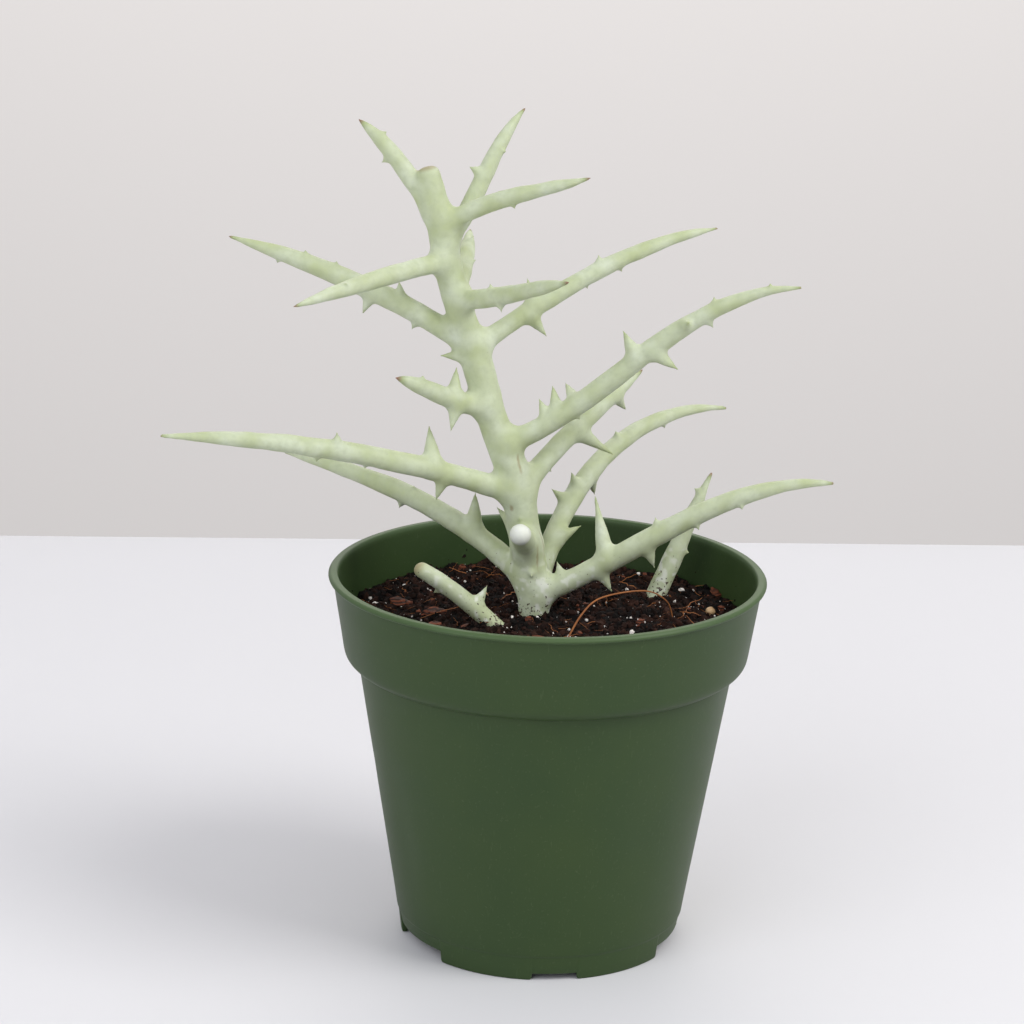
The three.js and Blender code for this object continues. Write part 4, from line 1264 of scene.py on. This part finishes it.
def patch_numbers(a, b, count):
    """One number for each connected patch, given the pairs that join."""
    patch = np.arange(count)
    while True:
        was = patch.copy()
        low = np.minimum(patch[a], patch[b])
        np.minimum.at(patch, a, low)
        np.minimum.at(patch, b, low)
        patch = patch[patch]
        if (patch == was).all():
            return patch


near_a, near_b = neighbours(skin_quads)
whole_patch = patch_numbers(near_a, near_b, len(skin_quads))
kept = np.bincount(whole_patch, minlength=len(skin_quads))[whole_patch] >= SMALLEST_PATCH
skin_quads, skin_who = skin_quads[kept], skin_who[kept]
for _ in range(3):
    near_a, near_b = neighbours(skin_quads)
    alike = skin_who[near_a] == skin_who[near_b]
    patch = patch_numbers(near_a[alike], near_b[alike], len(skin_quads))
    small = np.bincount(patch, minlength=len(skin_quads))[patch] < SMALLEST_PATCH
    for one, other in ((near_a, near_b), (near_b, near_a)):
        border = small[one] & ~small[other] & ~alike
        new_owner = dict(zip(patch[one[border]].tolist(), skin_who[other[border]].tolist()))
        for number, stem in new_owner.items():
            skin_who[patch == number] = stem
print("loose quads dropped:", int((~kept).sum()), "quads relabelled in the last round:", int(small.sum()))

# %% Sharpen the points and shape the skin
tip_share = np.zeros(len(skin_points))
for place, out, length, redness in tips:
    out = out / np.linalg.norm(out)
    offset = skin_points - place
    close = np.linalg.norm(offset, axis=1) < length + 1
    height = offset[close] @ out
    radial = offset[close] - height[:, None] * out
    mine = np.linalg.norm(radial, axis=1) < 0.8 + 0.45 * np.maximum(-height, 0)
    mine &= height < TIP_RADIUS
    squeeze = np.where(mine, 1 - 0.62 * ease(-1.6, 0.1, height), 1)
    skin_points[close] = place + height[:, None] * out + radial * squeeze[:, None]
    warm = min(4.5, 0.8 + length * 0.42)
    warmth = np.where(mine, ease(-warm, -0.1, height), 0) * redness
    tip_share[close] = np.maximum(tip_share[close], warmth)

above_soil = skin_points[:, 2] - soil_level
dirt_share = 0.55 * (1 - ease(-1, 7, above_soil)) + 0.45 * (1 - ease(4, 26, above_soil))
calm = 1 - tip_share
swell = 0.16 * lumps(skin_points, 6, 11) + 0.07 * lumps(skin_points, 2.4, 12)


def normals_of(points, quads):
    mesh = bpy.data.meshes.new("scratch")
    mesh.from_pydata((points * MM).tolist(), [], quads.tolist())
    normals = np.zeros(len(points) * 3, np.float32)
    mesh.vertex_normals.foreach_get("vector", normals)
    bpy.data.meshes.remove(mesh)
    return normals.reshape(-1, 3)


skin_points = skin_points + normals_of(skin_points, skin_quads) * (swell * calm)[:, None]
skin_normals = normals_of(skin_points, skin_quads)

# Dry marks: height above the soil, turn about the main stem, half-height, half-width in millimetres.
MARKS = [(17, -60, 4.5, 0.35), (20, -25, 3.5, 0.35), (43, -50, 2.6, 0.5), (31, -120, 1.0, 0.6)]
scar_share = np.zeros(len(skin_points))
for height, turn, tall, wide in MARKS:
    i = int(np.argmin(np.abs(main_path[:, 2] - soil_level - height)))
    spot = main_path[i] + compass(turn, 0) * main_radius[i]
    across = np.cross(compass(turn, 0), (0, 0, 1))
    offset = skin_points - spot
    slant = offset[:, 2] + 0.8 * (offset @ across)
    reach = np.hypot(slant / tall, (offset @ across - 0.12 * offset[:, 2]) / wide)
    ragged = 1 + 0.4 * lumps(skin_points, 1.2, 15)
    near_spot = np.linalg.norm(offset, axis=1) < tall + wide + 2
    scar_share = np.maximum(scar_share, np.where(near_spot, 0.6 * (1 - ease(0.5, 1.1, reach * ragged)), 0))


def cap_share(end, axis, within, strength, low, high):
    """A share that rises over the end of a stem, and is nothing away from that end."""
    offset = skin_points - end
    near_end = np.linalg.norm(offset, axis=1) < within
    return np.where(near_end, strength * ease(low, high, offset @ axis), 0)


# The cut top has healed to a thin brown cork, and the front shoot ends in a dry, yellow-brown cap.
cork = cap_share(top_cut, lean_up, 3.1, 0.7, -1.1, 0.0)
dry_cap = cap_share(*blunt_ends["front_left_shoot"], 4, 0.7, -0.4, 1.8)
scar_share = np.maximum.reduce([scar_share, cork, dry_cap])
# The stub at the front has healed to a whitish cap, and the skin at the plant's foot flakes.
wax_share = cap_share(*blunt_ends["low_front_stub"], 4, 0.85, -1.2, 0.4)
flaking = ease(0.25, 0.6, lumps(skin_points, 1.3, 31)) * (1 - ease(5, 24, above_soil))
wax_share = np.maximum(wax_share, 0.7 * flaking)
print("marked vertices:", int((scar_share > 0.1).sum()))

# %% Part the skin into one closed piece for each stem
SHARES = {"tip": tip_share, "dirt": dirt_share, "scar": scar_share, "wax": wax_share}


def cap_loops(quads):
    """Directed open edges of a set of quads, gathered into loops."""
    edges = np.vstack([quads[:, [i, (i + 1) % 4]] for i in range(4)])
    seen = {(a, b) for a, b in edges.tolist()}
    open_edges = [(a, b) for a, b in seen if (b, a) not in seen]
    group = {}

    def leader(v):
        while group.setdefault(v, v) != v:
            v = group[v]
        return v

    for a, b in open_edges:
        group[leader(a)] = leader(b)
    loops = {}
    for a, b in sorted(open_edges):
        loops.setdefault(leader(a), []).append((a, b))
    return list(loops.values())


def part_skin(who, name):
    quads = skin_quads[skin_who == who]
    used, local = np.unique(quads, return_inverse=True)
    faces = [list(f) for f in local.reshape(-1, 4).tolist()]
    points = skin_points[used].tolist()
    normals = skin_normals[used].tolist()
    where = {int(v): i for i, v in enumerate(used)}
    for loop in cap_loops(quads):
        middle = np.mean([skin_points[a] for a, _ in loop], axis=0)
        points.append(middle.tolist())
        normals.append([0, 0, 1])
        faces += [[where[b], where[a], len(points) - 1] for a, b in loop]
    piece = make_piece(name + "_skin", points, faces, waxy_skin)
    added = len(points) - len(used)
    for label, share in SHARES.items():
        layer = piece.data.attributes.new(label, "FLOAT", "POINT")
        layer.data.foreach_set("value", np.r_[share[used], np.zeros(added)].astype(np.float32))
    piece.data.normals_split_custom_set_from_vertices(normals)
    settle(piece, "waxy_stem", name)


for who, name in enumerate(stem_names):
    part_skin(who, name)
